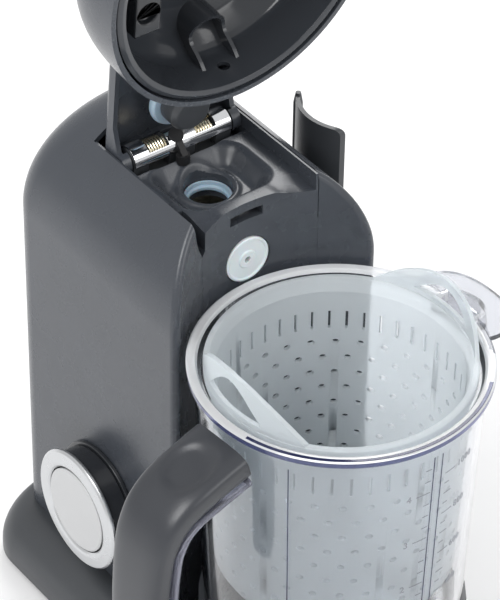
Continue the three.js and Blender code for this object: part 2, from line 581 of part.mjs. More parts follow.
// One blade: a swept wing on each side of the hub's neck, tilted up or down.
function blade(z, reach, tilt, turn) {
  const wing = new THREE.Shape();
  wing.moveTo(8, -5.5);
  wing.quadraticCurveTo(reach * 0.7, -7, reach, 3);
  wing.quadraticCurveTo(reach * 0.6, 5, 8, 5.5);
  const one = prism(wing, 'xy', 0, 1.2, 5).rotateY(-tilt).translate(0, 0, z);
  const other = one.clone().rotateZ(Math.PI);
  const collar = ring(7 + GAP, 10.5, z - 0.6, z + 3.4, 0, 0, 20);
  return cut(join(one, other, collar), disc(7 + GAP, 0, 100, 0, 0, 20)).rotateZ(turn);
}
add('blade_lower', blade(65.2, 34, 0.04, 0.4), CHROME);
add('blade_upper', blade(69.8, 30, 0.15, 1.9), CHROME);

// ---------------------------------------------------------------- spatula and its holder
// The blade and the stem are one curved sheet, hollow towards +Y.
function spatula() {
  const { x, y, r, top } = SPATULA;
  const sheet = ring(r - 2.2, r, 60, top, x, y, 48);
  const outline = new THREE.Shape();
  outline.moveTo(x - 15.4, top - 62);
  outline.bezierCurveTo(x - 15, top - 80, x - 8, top - 84, x - 7, top - 96);
  outline.lineTo(x - 7, top - 155);
  outline.absarc(x, top - 155, 7, Math.PI, Math.PI * 2);
  outline.lineTo(x + 7, top - 96);
  outline.bezierCurveTo(x + 8, top - 84, x + 15, top - 80, x + 15.4, top - 62);
  outline.lineTo(x + 15.4, top - 5);
  outline.quadraticCurveTo(x + 15.4, top - 0.5, x + 11, top - 0.5);
  outline.lineTo(x - 15.4, top - 0.5);
  return common(sheet, prism(outline, 'xz', y - 30, y - 5, 6));
}
add('spatula', spatula(), DARK);
// A short sleeve that holds the stem against the tower's back panel.
add('spatula_holder', cut(
  block([SPATULA.x - 12, SPATULA.x + 12], [-PANEL + GAP, 61], [SPATULA.top - 148, SPATULA.top - 112]),
  block([SPATULA.x - 7.6, SPATULA.x + 7.6], [53.4, 58.6], [0, 300]),
), DARK);

// ---------------------------------------------------------------- lid
// The dome bulges as a superellipse and leans down towards the front.
function domeForm(inset, floor) {
  const steps = 7;
  const count = 32;
  const rings = [];
  for (let i = 0; i < steps; i++) {
    const q = ((i / steps) * Math.PI) / 2;
    const spread = (LID.r - inset) * Math.cos(q) ** (2 / LID.power);
    const rise = (LID.height - inset) * Math.sin(q) ** (2 / LID.power);
    rings.push(Array.from({ length: count }, (_, j) => {
      const angle = (j / count) * 2 * Math.PI;
      const [x, y] = [spread * Math.cos(angle), spread * Math.sin(angle)];
      const lean = (LID.lean * -x * rise) / LID.height;
      return vec(x, y, i ? LID.z + rise + lean : floor);
    }));
  }
  return loft(rings);
}
// The tail is a channel from the dome back to the hinge, with a crowned top.
function tailForm(inset, from, to, bottom) {
  const half = TAIL.halfWidth - inset;
  const top = TAIL.top - inset;
  const section = new THREE.Shape();
  section.moveTo(-half, bottom);
  section.lineTo(half, bottom);
  section.lineTo(half, top - 5);
  section.quadraticCurveTo(half, top - 1.4, half - 6, top - 0.8);
  section.quadraticCurveTo(0, top + 1.2, 6 - half, top - 0.8);
  section.quadraticCurveTo(-half, top - 1.4, -half, top - 5);
  return prism(section, 'yz', from, to, 5);
}
function lidShell() {
  const tail = tailForm(0, TAIL.endX, -10, TAIL.bottom);
  const cheek = new THREE.Shape();
  cheek.moveTo(TAIL.endX, TAIL.bottom + 4);
  cheek.lineTo(HINGE.x - 5.6, HINGE.z);
  cheek.absarc(HINGE.x, HINGE.z, 5.6, Math.PI, Math.PI * 2);
  cheek.lineTo(-96, TAIL.bottom + 0.5);
  cheek.lineTo(-96, TAIL.bottom + 4);
  const cheeks = [[-TAIL.halfWidth, -25.4], [25.4, TAIL.halfWidth]].map(([a, b]) =>
    prism(cheek, 'xz', a, b, 5));
  const tailHollow = tailForm(LID.wall, TAIL.endX + 2.2, -LID.r + 2, TAIL.bottom - 5);
  const latchDoor = block([-70, -50], [-7.6, 6.3], [RIM_Z + 30.2, RIM_Z + 34.1]);
  const pinHole = rodAlongY(HINGE.pinR + GAP, HINGE.x, HINGE.z, -40, 40, 6);
  const hingeSpace = block([-125, -100], [-25.3, 25.3], [0, HINGE.z + 7.4]);
  const releaseHole = disc(7, RIM_Z + 40, RIM_Z + 60, -74, 0, 24);
  return cut(
    join(domeForm(0, LID.z), cut(join(tail, ...cheeks), tailHollow)),
    domeForm(LID.wall, LID.z - 1), latchDoor, pinHole, hingeSpace, releaseHole,
  );
}
addToLid('lid_shell', lidShell(), CHARCOAL);

// The glossy lining: a rim flange, a straight wall, a dished ceiling and the U-shaped steam guide.
function lidLiner() {
  const rimZ = LID.z + 1;
  const ceiling = RIM_Z + 38.5;
  const cup = revolve([
    [LINER_R + 0.5, rimZ], [LID.r - LID.wall - 0.9, rimZ], [LID.r - LID.wall - 0.9, rimZ + 4],
    [LINER_R + 2.2, rimZ + 4], [LINER_R + 2, rimZ + 22], [LINER_R - 7, ceiling - 3],
    [LINER_R - 16, ceiling], [0, ceiling], [0, ceiling - 2], [LINER_R - 17, ceiling - 2],
    [LINER_R - 8.5, ceiling - 5], [LINER_R + 0.3, rimZ + 20],
  ], 32);
  const plan = (r, reach) => {
    const u = new THREE.Shape();
    u.moveTo(-LINER_R - 1.5, -r);
    u.lineTo(reach, -r);
    u.absarc(reach, 0, r, -Math.PI / 2, Math.PI / 2);
    u.lineTo(-LINER_R - 1.5, r);
    return u;
  };
  const guide = cut(
    prism(plan(8.9, -46.4), 'xy', rimZ + 6, ceiling - 1, 8),
    prism(plan(7.3, -46.4), 'xy', 0, 400, 8),
    prism(polygon(
      [-80, 0], [-56, RIM_Z + 11], [-47, RIM_Z + 25], [-30, RIM_Z + 22], [-30, 0],
    ), 'xz', -20, 20),
  );
  const inside = revolve([
    [0, rimZ], [LINER_R + 1.3, rimZ], [LINER_R + 1.1, rimZ + 22], [LINER_R - 7.6, ceiling - 3.6],
    [LINER_R - 16.4, ceiling - 0.6], [0, ceiling - 0.6],
  ], 32);
  const steamHole = revolveAhead([[0, -70], [2.6, -70], [2.6, -50], [0, -50]], PORT.y, RIM_Z + 14, 12);
  return cut(join(cup, common(guide, inside)), steamHole);
}
addToLid('lid_liner', lidLiner(), GLOSS);

addToLid('latch_housing', cut(
  block([-22, 22], [-45.5, -33.5], [RIM_Z + 12, RIM_Z + 28]),
  disc(4.6, 0, RIM_Z + 15, -12, -39.5, 20),
), DARK);

// The plug that shuts the tank: a cap below a silicone diaphragm, on the underside of the tail.
const PLUG_X = -91.5;
addToLid('tank_plug_cap', revolve([
  [0, INLET.z + 1.1], [8.4, INLET.z + 1.1], [9.6, INLET.z + 2.4], [9.6, RIM_Z + 39.7], [0, RIM_Z + 39.7],
], 24, PLUG_X), DARK);
addToLid('tank_plug_seal', revolve([
  [0, RIM_Z + 40], [12.4, RIM_Z + 40], [13, RIM_Z + 41.2], [13, RIM_Z + 43], [11.6, RIM_Z + 44],
  [5, RIM_Z + 44], [5, RIM_Z + 49.8], [0, RIM_Z + 49.8],
], 24, PLUG_X), SILICONE);

addToLid('latch_bolt', block([-67.4, -57], [-7.2, 5.9], [RIM_Z + 30.6, RIM_Z + 33.7]), DARK);
addToLid('lid_release_button', revolve([
  [0, RIM_Z + 46.9], [6.7, RIM_Z + 46.9], [6.7, RIM_Z + 53.2], [5.6, RIM_Z + 54.2], [0, RIM_Z + 54.2],
], 28, -74), SILVER);

// ---------------------------------------------------------------- origin
machine.updateMatrixWorld(true);
const bounds = new THREE.Box3().setFromObject(machine, true);
const middle = bounds.getCenter(new THREE.Vector3());
machine.position.set(-middle.x, -middle.y, -bounds.min.z);

export default machine;
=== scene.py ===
"""Baby food maker: the looks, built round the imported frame.

Shapes are modelled in millimetres with X = 0, Y = 0 on the bowl's axis and Z = 0 on the table,
and the lid is modelled shut. Each piece is then moved into the frame, in metres.
"""

import json
import math

import bmesh
import bpy
from mathutils import Matrix, Vector


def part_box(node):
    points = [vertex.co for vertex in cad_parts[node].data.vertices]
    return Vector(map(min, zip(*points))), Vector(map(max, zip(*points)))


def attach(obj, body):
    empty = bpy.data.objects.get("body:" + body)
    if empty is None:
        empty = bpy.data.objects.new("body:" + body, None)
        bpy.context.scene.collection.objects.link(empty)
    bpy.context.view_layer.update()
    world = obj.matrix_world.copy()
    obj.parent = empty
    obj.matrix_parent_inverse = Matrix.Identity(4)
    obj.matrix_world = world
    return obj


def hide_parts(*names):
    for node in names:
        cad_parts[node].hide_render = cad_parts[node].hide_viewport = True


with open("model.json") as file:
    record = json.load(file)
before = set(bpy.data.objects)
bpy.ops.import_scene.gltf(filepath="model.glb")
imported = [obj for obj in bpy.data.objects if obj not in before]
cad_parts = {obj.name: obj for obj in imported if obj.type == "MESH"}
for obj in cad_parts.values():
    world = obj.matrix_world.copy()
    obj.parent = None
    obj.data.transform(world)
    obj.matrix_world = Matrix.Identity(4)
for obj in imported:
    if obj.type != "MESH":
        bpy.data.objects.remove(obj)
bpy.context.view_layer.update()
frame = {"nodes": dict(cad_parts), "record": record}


# ------------------------ the frame's places
def middle(node):
    low, high = (Vector(corner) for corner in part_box(node))
    return (low + high) / 2


AXIS = middle("bowl_lock_ring")
AXIS.z = 0.0
TO_FRAME = Matrix.Translation(AXIS) @ Matrix.Scale(0.001, 4)
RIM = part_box("bowl")[1][2] * 1000
JOINTS = {joint["name"]: joint for joint in frame["record"]["behaviour"]["joints"]}


def in_mm(place):
    """A place in the frame, in metres, as millimetres from the bowl's axis."""
    return (Vector(place) - AXIS) * 1000


HINGE = in_mm(JOINTS["lid_hinge"]["pos_m"])
HINGE.y = 0.0
OPEN_ANGLE = math.radians(JOINTS["lid_hinge"]["range_deg"][1])
OPEN_LID = (
    Matrix.Translation(HINGE)
    @ Matrix.Rotation(-OPEN_ANGLE, 4, "Y")
    @ Matrix.Translation(-HINGE)
)

# ------------------------ dimensions, mm
WALL = 2.4  # moulded casing wall
FACE_R = 64.6  # hollow face of the tower, round the bowl's axis
HALF = 51.5  # tower, half width
ARCH_Z = RIM + 3.5
BACK_X = -161.0
FOOT_Z = 25.3
RECESS_X, RECESS_HALF = -127.5, 31.0
DECK_Z = RIM + 37.5
TROUGH_X, TROUGH_Z = -105.5, RIM + 30.5
INLET_X, INLET_Z, INLET_R = -90.5, RIM + 28.7, 10.4
PORT_Y, PORT_Z, PORT_R = 0.7, RIM + 9.3, 10.6
LID_R, LID_Z, LID_HEIGHT = 63.2, RIM + 3.4, 47.0
LINER_R = 55.5
KNOB_X, KNOB_Z, KNOB_R, KNOB_FACE = -95.5, RIM - 117.4, 27.9, 66.0
BOWL_FOOT = RIM - 127


# ------------------------ camera
CAMERA_TURN = (52.95, 38.96, 0.93)  # azimuth, elevation and roll in degrees
CAMERA_PLACE = Vector((0.7903, -0.6426, 0.8527))  # metres from the middle of the bowl's rim
CAMERA_LENS = 200.3


def show(obj):
    bpy.context.scene.collection.objects.link(obj)
    return obj


def place_camera():
    azimuth, elevation, roll = (math.radians(a) for a in CAMERA_TURN)
    back = Vector(
        (
            math.sin(azimuth) * math.cos(elevation),
            -math.cos(azimuth) * math.cos(elevation),
            math.sin(elevation),
        )
    )
    level = Vector((math.cos(azimuth), math.sin(azimuth), 0))
    up = back.cross(level)
    right = level * math.cos(roll) + up * math.sin(roll)
    up = up * math.cos(roll) - level * math.sin(roll)
    camera = show(bpy.data.objects.new("camera", bpy.data.cameras.new("camera")))
    rim_middle = AXIS + Vector((0, 0, RIM / 1000))
    turned = Matrix((right, up, back)).transposed().to_4x4()
    camera.matrix_world = Matrix.Translation(rim_middle + CAMERA_PLACE) @ turned
    camera.data.lens = CAMERA_LENS
    camera.data.sensor_width = 36
    camera.data.clip_start, camera.data.clip_end = 0.05, 20
    bpy.context.scene.camera = camera


place_camera()


# ------------------------ flat outlines
def arc(x, y, r, start, end, count=12):
    """Points round a centre, between two angles in degrees."""
    angles = [math.radians(start + (end - start) * i / count) for i in range(count + 1)]
    return [(x + r * math.cos(a), y + r * math.sin(a)) for a in angles]


def rounded(corners, count=5):
    """A closed outline of (x, y, radius) corners, each turned into an arc of its radius."""
    points = []
    total = len(corners)
    for i, (x, y, *radius) in enumerate(corners):
        here = Vector((x, y))
        r = radius[0] if radius else 0
        before = Vector(corners[i - 1][:2]) - here
        after = Vector(corners[(i + 1) % total][:2]) - here
        if r <= 0 or before.length < 1e-6 or after.length < 1e-6:
            points.append((x, y))
            continue
        before_way, after_way = before.normalized(), after.normalized()
        half = before_way.angle(after_way) / 2
        if half > math.radians(88):
            points.append((x, y))
            continue
        reach = min(r / math.tan(half), before.length * 0.48, after.length * 0.48)
        start, end = here + before_way * reach, here + after_way * reach
        for k in range(count + 1):
            t = k / count
            p = start * (1 - t) ** 2 + here * 2 * t * (1 - t) + end * t**2
            points.append((p.x, p.y))
    return points


def bezier(a, b, c, d, count=10):
    """Points on a cubic curve, without its first."""
    a, b, c, d = (Vector(p) for p in (a, b, c, d))
    result = []
    for k in range(1, count + 1):
        t = k / count
        s = 1 - t
        p = a * s**3 + b * 3 * t * s * s + c * 3 * t * t * s + d * t**3
        result.append(tuple(p))
    return result


# ------------------------ meshes
def new_object(name, verts, faces):
    mesh = bpy.data.meshes.new(name)
    mesh.from_pydata([tuple(v) for v in verts], [], faces)
    build = bmesh.new()
    build.from_mesh(mesh)
    bmesh.ops.remove_doubles(build, verts=build.verts, dist=1e-4)
    bmesh.ops.dissolve_degenerate(build, dist=1e-5, edges=build.edges)
    bmesh.ops.recalc_face_normals(build, faces=build.faces)
    build.to_mesh(mesh)
    build.free()
    return show(bpy.data.objects.new(name, mesh))


def lathe(profile, count=96, at=(0, 0), steps=5):
    """A closed outline of (radius, height, rounding) corners, turned round the Z axis."""
    verts, faces, rings = [], [], []
    for r, z in rounded(profile, steps):
        if r < 1e-6:
            rings.append([len(verts)] * count)
            verts.append((at[0], at[1], z))
            continue
        rings.append(list(range(len(verts), len(verts) + count)))
        for j in range(count):
            a = 2 * math.pi * j / count
            verts.append((at[0] + r * math.cos(a), at[1] + r * math.sin(a), z))
    for i, ring in enumerate(rings):
        following = rings[(i + 1) % len(rings)]
        for j in range(count):
            k = (j + 1) % count
            corners = [ring[j], ring[k], following[k], following[j]]
            corners = [c for n, c in enumerate(corners) if c not in corners[:n]]
            if len(corners) > 2:
                faces.append(corners)
    return new_object("turned", verts, faces)


PLANES = {
    "xy": lambda u, v, w: (u, v, w),
    "yz": lambda u, v, w: (w, u, v),
    "xz": lambda u, v, w: (u, w, v),
}


def prism(outline, plane, start, end):
    """A straight solid of a flat outline, along the axis that its plane leaves out."""
    place = PLANES[plane]
    count = len(outline)
    verts = [place(u, v, w) for w in (start, end) for u, v in outline]
    faces = [[j, (j + 1) % count, count + (j + 1) % count, count + j] for j in range(count)]
    faces += [list(range(count)), list(range(count, 2 * count))]
    return new_object("prism", verts, faces)


def block(x, y, z):
    return prism([(x[0], y[0]), (x[1], y[0]), (x[1], y[1]), (x[0], y[1])], "xy", z[0], z[1])


def disc(r, bottom, top, x=0, y=0, count=48):
    return prism(arc(x, y, r, 0, 360 - 360 / count, count - 1), "xy", bottom, top)


def ring(inner, outer, bottom, top, x=0, y=0, count=96):
    return lathe([(inner, bottom), (outer, bottom), (outer, top), (inner, top)], count, (x, y))


def rod(r, x, z, start, end, count=32):
    return prism(arc(x, z, r, 0, 360 - 360 / count, count - 1), "xz", start, end)


def loft(rings):
    """A skin over closed rings of equal length, with a flat face over each end."""
    count = len(rings[0])
    verts = [p for one in rings for p in one]
    faces = []
    for i in range(len(rings) - 1):
        for j in range(count):
            a, b = i * count + j, i * count + (j + 1) % count
            faces.append([a, b, b + count, a + count])
    last = (len(rings) - 1) * count
    faces += [list(range(count)), list(range(last, last + count))]
    return new_object("loft", verts, faces)


def tube(points, radius, sides):
    """A round wire along points, or a tapering one if the radius is a list."""
    points = [Vector(p) for p in points]
    radii = radius if isinstance(radius, list) else [radius] * len(points)
    total = len(points)
    rings = []
    normal = None
    for i, p in enumerate(points):
        ahead = points[i + 1] if i < total - 1 else p
        behind = points[i - 1] if i > 0 else p
        along = (ahead - behind).normalized()
        if normal is None:
            helper = Vector((0, 0, 1)) if abs(along.z) < 0.9 else Vector((1, 0, 0))
            normal = along.cross(helper).normalized()
        normal = (normal - along * normal.dot(along)).normalized()
        across = along.cross(normal)
        rings.append(
            [
                p + (normal * math.cos(a) + across * math.sin(a)) * radii[i]
                for a in (2 * math.pi * k / sides for k in range(sides))
            ]
        )
    return loft(rings)


def settle(obj):
    """Applies the object's modifiers to its mesh."""
    graph = bpy.context.evaluated_depsgraph_get()
    graph.update()
    mesh = bpy.data.meshes.new_from_object(obj.evaluated_get(graph))
    old = obj.data
    obj.modifiers.clear()
    obj.data = mesh
    bpy.data.meshes.remove(old)


def combine(obj, operation, tools):
    for tool in tools:
        change = obj.modifiers.new("combine", "BOOLEAN")
        change.operation = operation
        change.object = tool
        change.solver = "EXACT"
        settle(obj)
        bpy.data.objects.remove(tool)
    return obj


def cut(obj, *tools):
    return combine(obj, "DIFFERENCE", tools)


def join(obj, *tools):
    return combine(obj, "UNION", tools)


def common(obj, *tools):
    return combine(obj, "INTERSECT", tools)


def gather(obj, *others):
    """Puts meshes that don't touch into one object."""
    build = bmesh.new()
    build.from_mesh(obj.data)
    for other in others:
        build.from_mesh(other.data)
        bpy.data.objects.remove(other)
    build.to_mesh(obj.data)
    build.free()
    return obj


def turn(obj, matrix):
    obj.data.transform(matrix)
    return obj


def facing_out(obj, x, z):
    """Turns a shape made round Z so that its height stands out towards -Y, centred at x and z."""
    return turn(obj, Matrix.Translation((x, 0, z)) @ Matrix.Rotation(math.radians(90), 4, "X"))


def facing_ahead(obj, x, y, z):
    """Turns a shape made round Z so that its height points along +X."""
    return turn(obj, Matrix.Translation((x, y, z)) @ Matrix.Rotation(math.radians(90), 4, "Y"))


# ------------------------ materials
def add_node(tree, kind, **settings):
    node = tree.nodes.new(kind)
    for key, value in settings.items():
        if key in node.inputs:
            node.inputs[key].default_value = value
        else:
            setattr(node, key, value)
    return node


def surface(name, color, roughness, variation=0.06, grain=1400, bump=0.02, spread=0.05, **shader):
    """A material whose colour, roughness and fine bump vary over the object's own coordinates."""
    material = bpy.data.materials.new(name)
    material.use_nodes = True
    tree = material.node_tree
    link = tree.links.new
    principled = tree.nodes["Principled BSDF"]
    place = add_node(tree, "ShaderNodeTexCoord").outputs["Object"]

    def noise(scale, detail):
        node = add_node(tree, "ShaderNodeTexNoise", Scale=scale, Detail=detail)
        link(place, node.inputs["Vector"])
        return node.outputs["Fac"]

    clouds = noise(28, 3)
    ramp = tree.nodes.new("ShaderNodeValToRGB")
    ramp.color_ramp.elements[0].position = 0.3
    ramp.color_ramp.elements[1].position = 0.7
    for element, share in zip(ramp.color_ramp.elements, (1 - variation, 1 + variation)):
        element.color = (*[min(1, c * share) for c in color], 1)
    link(clouds, ramp.inputs["Fac"])
    link(ramp.outputs["Color"], principled.inputs["Base Color"])

    gloss = tree.nodes.new("ShaderNodeMapRange")
    gloss.inputs["To Min"].default_value = max(0.0, roughness - spread)
    gloss.inputs["To Max"].default_value = roughness + spread
    link(noise(90, 4), gloss.inputs["Value"])
    link(gloss.outputs["Result"], principled.inputs["Roughness"])

    if bump:
        texture = add_node(tree, "ShaderNodeBump", Strength=bump, Distance=0.001)
        link(noise(grain, 2), texture.inputs["Height"])
        link(texture.outputs["Normal"], principled.inputs["Normal"])
    for socket, value in shader.items():
        principled.inputs[socket.replace("_", " ")].default_value = value
    return material


CHARCOAL = surface("charcoal_plastic", (0.050, 0.056, 0.067), 0.27, 0.05, 1600, 0.05)
DARK = surface("dark_plastic", (0.048, 0.052, 0.058), 0.36, 0.06, 1600, 0.05)
GRIP_PLASTIC = surface("grip_plastic", (0.036, 0.039, 0.046), 0.30, 0.05, 1600, 0.06)
GLOSS = surface("gloss_plastic", (0.036, 0.040, 0.047), 0.14, 0.05, 500, 0.01, 0.03)
PIANO = surface("piano_black", (0.022, 0.024, 0.028), 0.12, 0.05, 500, 0.0, 0.03)
SILVER = surface("silver_trim", (0.60, 0.61, 0.62), 0.28, 0.02, 900, 0.01, 0.04, Metallic=0.95)
SATIN_DISC = surface(
    "silver_disc", (0.54, 0.545, 0.55), 0.42, 0.02, 2600, 0.03, 0.04, Metallic=0.35
)
CHROME = surface("chrome", (0.8, 0.81, 0.83), 0.08, 0.02, 600, 0.0, 0.04, Metallic=1.0)
STEEL = surface("steel", (0.56, 0.56, 0.58), 0.3, 0.05, 1200, 0.02, 0.06, Metallic=1.0)
SPRING = surface("spring_steel", (0.90, 0.82, 0.62), 0.24, 0.05, 1500, 0.0, 0.05, Metallic=1.0)
ALUMINIUM = surface("aluminium", (0.66, 0.67, 0.68), 0.35, 0.04, 1500, 0.03, 0.05, Metallic=1.0)
RUBBER = surface("black_rubber", (0.009, 0.009, 0.010), 0.55, 0.1, 1800, 0.08)
SILICONE = surface(
    "blue_silicone", (0.36, 0.48, 0.58), 0.35, 0.04, 900, 0.02, 0.05,
    Subsurface_Weight=0.25, Subsurface_Scale=0.004,
)
WHITE_SILICONE = surface(
    "white_silicone", (0.78, 0.82, 0.84), 0.34, 0.03, 900, 0.03, 0.05,
    Subsurface_Weight=0.3, Subsurface_Scale=0.004,
)
NATURAL = surface("natural_plastic", (0.66, 0.64, 0.56), 0.4, 0.04)
BOARD = surface("circuit_board", (0.02, 0.16, 0.07), 0.35, 0.15, 400, 0.02)
CLEAR = surface(
    "clear_plastic", (0.955, 0.965, 0.985), 0.03, 0.01, 60, 0.004, 0.012,
    Transmission_Weight=1.0, IOR=1.46,
)
# Darker navy clear plastic: painted shade for the dark edge lines of the bowl's rim and ribs.
CLEAR_PAINTED_SHADE = surface(
    "clear_plastic_painted_shade", (0.06, 0.07, 0.19), 0.08, 0.03, 60, 0.004, 0.02,
    Transmission_Weight=0.6, IOR=1.46,
)
MILKY = surface(
    "milky_plastic", (0.87, 0.915, 0.94), 0.36, 0.02, 300, 0.01, 0.04,
    Transmission_Weight=0.62, IOR=1.1,
)
CLEAR_RIM = surface(
    "clear_plastic_rim", (0.95, 0.965, 0.985), 0.14, 0.02, 60, 0.004, 0.03,
    Transmission_Weight=0.45, IOR=1.25,
)
CLEAR_LOBE = surface(
    "clear_plastic_lobe", (0.50, 0.515, 0.56), 0.06, 0.02, 60, 0.004, 0.02,
    Transmission_Weight=0.92, IOR=1.35,
)
GRIP_CLEAR = surface(
    "clear_plastic_grip", (0.42, 0.43, 0.52), 0.14, 0.03, 60, 0.004, 0.03,
    Transmission_Weight=0.8, IOR=1.3,
)
PRINT = surface("scale_print", (0.30, 0.31, 0.35), 0.5, 0.05)

NODE_LOOKS = {
    "dark_plastic": DARK, "charcoal_plastic": CHARCOAL, "gloss_plastic": GLOSS,
    "silver_trim": SILVER, "chrome": CHROME, "steel": STEEL, "spring_steel": SPRING,
    "aluminium": ALUMINIUM, "clear_plastic": CLEAR, "milky_plastic": MILKY,
    "blue_silicone": SILICONE, "white_silicone": WHITE_SILICONE, "black_rubber": RUBBER,
    "natural_plastic": NATURAL, "circuit_board": BOARD,
}
for part in frame["record"]["subparts"]:
    node = frame["nodes"][part["node"]]
    for place in range(max(1, len(node.material_slots))):
        if node.material_slots:
            node.material_slots[place].material = NODE_LOOKS[part["material_slot"]]
        else:
            node.data.materials.append(NODE_LOOKS[part["material_slot"]])


LID_BODIES = ("lid", "release_button")


def piece(obj, name, body, look, stands_for=(), bevel=0.0, angle=32):
    """Moves a shape into the frame, finishes its edges and gives it its body and look."""
    obj.name = name
    obj.data.name = name
    if bevel:
        edges = obj.modifiers.new("edges", "BEVEL")
        edges.width = bevel
        edges.segments = 3
        edges.limit_method = "ANGLE"
        edges.angle_limit = math.radians(angle)
        edges.use_clamp_overlap = True
        settle(obj)
    if body in LID_BODIES:
        obj.data.transform(OPEN_LID)
    obj.data.transform(TO_FRAME)
    obj.data.polygons.foreach_set("use_smooth", [True] * len(obj.data.polygons))
    obj.data.set_sharp_from_angle(angle=math.radians(angle))
    if bevel:
        obj.modifiers.new("shading", "WEIGHTED_NORMAL").keep_sharp = True
    looks = look if isinstance(look, list) else [look]
    kept = [p.material_index for p in obj.data.polygons]
    obj.data.materials.clear()
    for one in looks:
        obj.data.materials.append(one)
    obj.data.polygons.foreach_set("material_index", [min(k, len(looks) - 1) for k in kept])
    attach(obj, body)
    if stands_for:
        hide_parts(*stands_for)
    return obj


# ------------------------ tower
def arch_outline(half, foot, count=48):
    """(y, z, normal y, normal z) from the foot at -Y over the arch to the foot at +Y."""
    rises = [foot + (ARCH_Z - foot) * i / 10 for i in range(10)]
    left = [(-half, z, -1.0, 0.0) for z in rises]
    over = []
    for i in range(count + 1):
        a = math.pi * (1 - i / count)
        over.append((half * math.cos(a), ARCH_Z + half * math.sin(a), math.cos(a), math.sin(a)))
    right = [(half, z, 1.0, 0.0) for z in reversed(rises)]
    return left + over + right


def tower_form(inset):
    """The tower's outer form, or the hollow inside it when inset by the wall."""
    foot = FOOT_Z - (1 if inset else 0)
    outline = arch_outline(HALF - inset, foot)
    back_x = BACK_X + inset
    face_r = FACE_R + inset
    nose = 1.2 if inset else 2.4
    rings = []

    def back_ring(turned):
        points = []
        for y, z, ny, nz in outline:
            r = 14 + 16 * max(0, nz) ** 2 - inset
            d = r * (1 - math.sin(turned))
            points.append((back_x + r * (1 - math.cos(turned)), y - ny * d, z - nz * d))
        return points

    first = back_ring(0)
    for share in (0.0, 0.35, 0.7):
        rings.append([(x, y * share, z) for x, y, z in first])
    rings += [back_ring(math.pi / 2 * k / 10) for k in range(11)]
    starts = []
    for y, z, ny, nz in outline:
        yc, zc = y - ny * nose, z - nz * nose
        starts.append(Vector((-math.sqrt((face_r + nose) ** 2 - yc * yc), yc, zc)))
    for share in (0.33, 0.66):
        last = back_ring(math.pi / 2)
        rings.append(
            [(p[0] + (c.x - p[0]) * share, p[1], p[2]) for p, c in zip(last, starts)]
        )
    for k in range(11):
        points = []
        for (y, z, ny, nz), c in zip(outline, starts):
            outward = Vector((0, ny, nz))
            inward = Vector((-c.x, -c.y, 0)).normalized()
            points.append(tuple(c + outward.slerp(inward, k / 10) * nose))
        rings.append(points)
    last = rings[-1]
    for share in (0.9, 0.75, 0.6, 0.45, 0.3, 0.15, 0.0):
        points = []
        for _, y, z in last:
            near = y * share
            points.append((-math.sqrt(face_r**2 - near**2), near, z))
        rings.append(points)
    count = len(outline)
    verts = [p for one in rings for p in one]
    faces = []
    for i in range(len(rings) - 1):
        for j in range(count - 1):
            a = i * count + j
            faces.append([a, a + 1, a + 1 + count, a + count])
    obj = new_object("tower", verts, faces)
    build = bmesh.new()
    build.from_mesh(obj.data)
    bmesh.ops.holes_fill(build, edges=[e for e in build.edges if e.is_boundary], sides=0)
    bmesh.ops.recalc_face_normals(build, faces=build.faces)
    build.to_mesh(obj.data)
    build.free()
    return obj


SLOT_TIP_Z = RIM + 25.5


def strip_outline(half_low, half_high):
    """The opening in the tower's face: straight at +Y, and at -Y it flares out to the recess."""
    side = [(half_low, FOOT_Z - 3), (half_low, SLOT_TIP_Z)]
    side += bezier(
        (half_low, SLOT_TIP_Z), (half_low + 1.2, SLOT_TIP_Z + 2.5),
        (half_high - 0.4, SLOT_TIP_Z + 9), (half_high, SLOT_TIP_Z + 20), 10,
    )
    side.append((half_high, RIM + 90))
    return [(-y, z) for y, z in side] + [(half_high, RIM + 90), (half_high, FOOT_Z - 3)]


def make_tower():
    shell = tower_form(0)
    cut(shell, tower_form(WALL))
    cut(shell, prism(strip_outline(25.6, RECESS_HALF), "yz", -80, -20))
    cut(shell, block((RECESS_X, -60), (-RECESS_HALF, RECESS_HALF), (TROUGH_Z - 1, RIM + 80)))
    cut(shell, facing_out(disc(14, 40, 60), KNOB_X, KNOB_Z))
    piece(shell, "tower_casing", "machine", CHARCOAL, ["tower_shell"], 0.55, 30)


make_tower()


def smooth(value, low, high):
    """Rises softly from 0 at low to 1 at high."""
    t = min(1.0, max(0.0, (value - low) / (high - low)))
    return t * t * (3 - 2 * t)


def deck_height(x, y):
    """The deck's top: a rounded square dish round the inlet, and corners that dip at the nose."""
    dx = abs(x + 88.5) - 7.5
    dy = abs(y) - 12.0
    outside = math.hypot(max(dx, 0), max(dy, 0)) + min(max(dx, dy), 0)
    depth = 8.3 * (1 - smooth(outside, 2.0, 11.5))
    dip = 1.6 * smooth(abs(y), 14, 24) * smooth(x, -74, -60)
    r = math.hypot(x - INLET_X, y)
    lip = 1.3 * math.exp(-(((r - 12.0) / 1.3) ** 2))
    return DECK_Z + 0.6 * (1 - smooth(abs(y), 12, 17)) * smooth(x, -76, -66) - depth - dip + lip


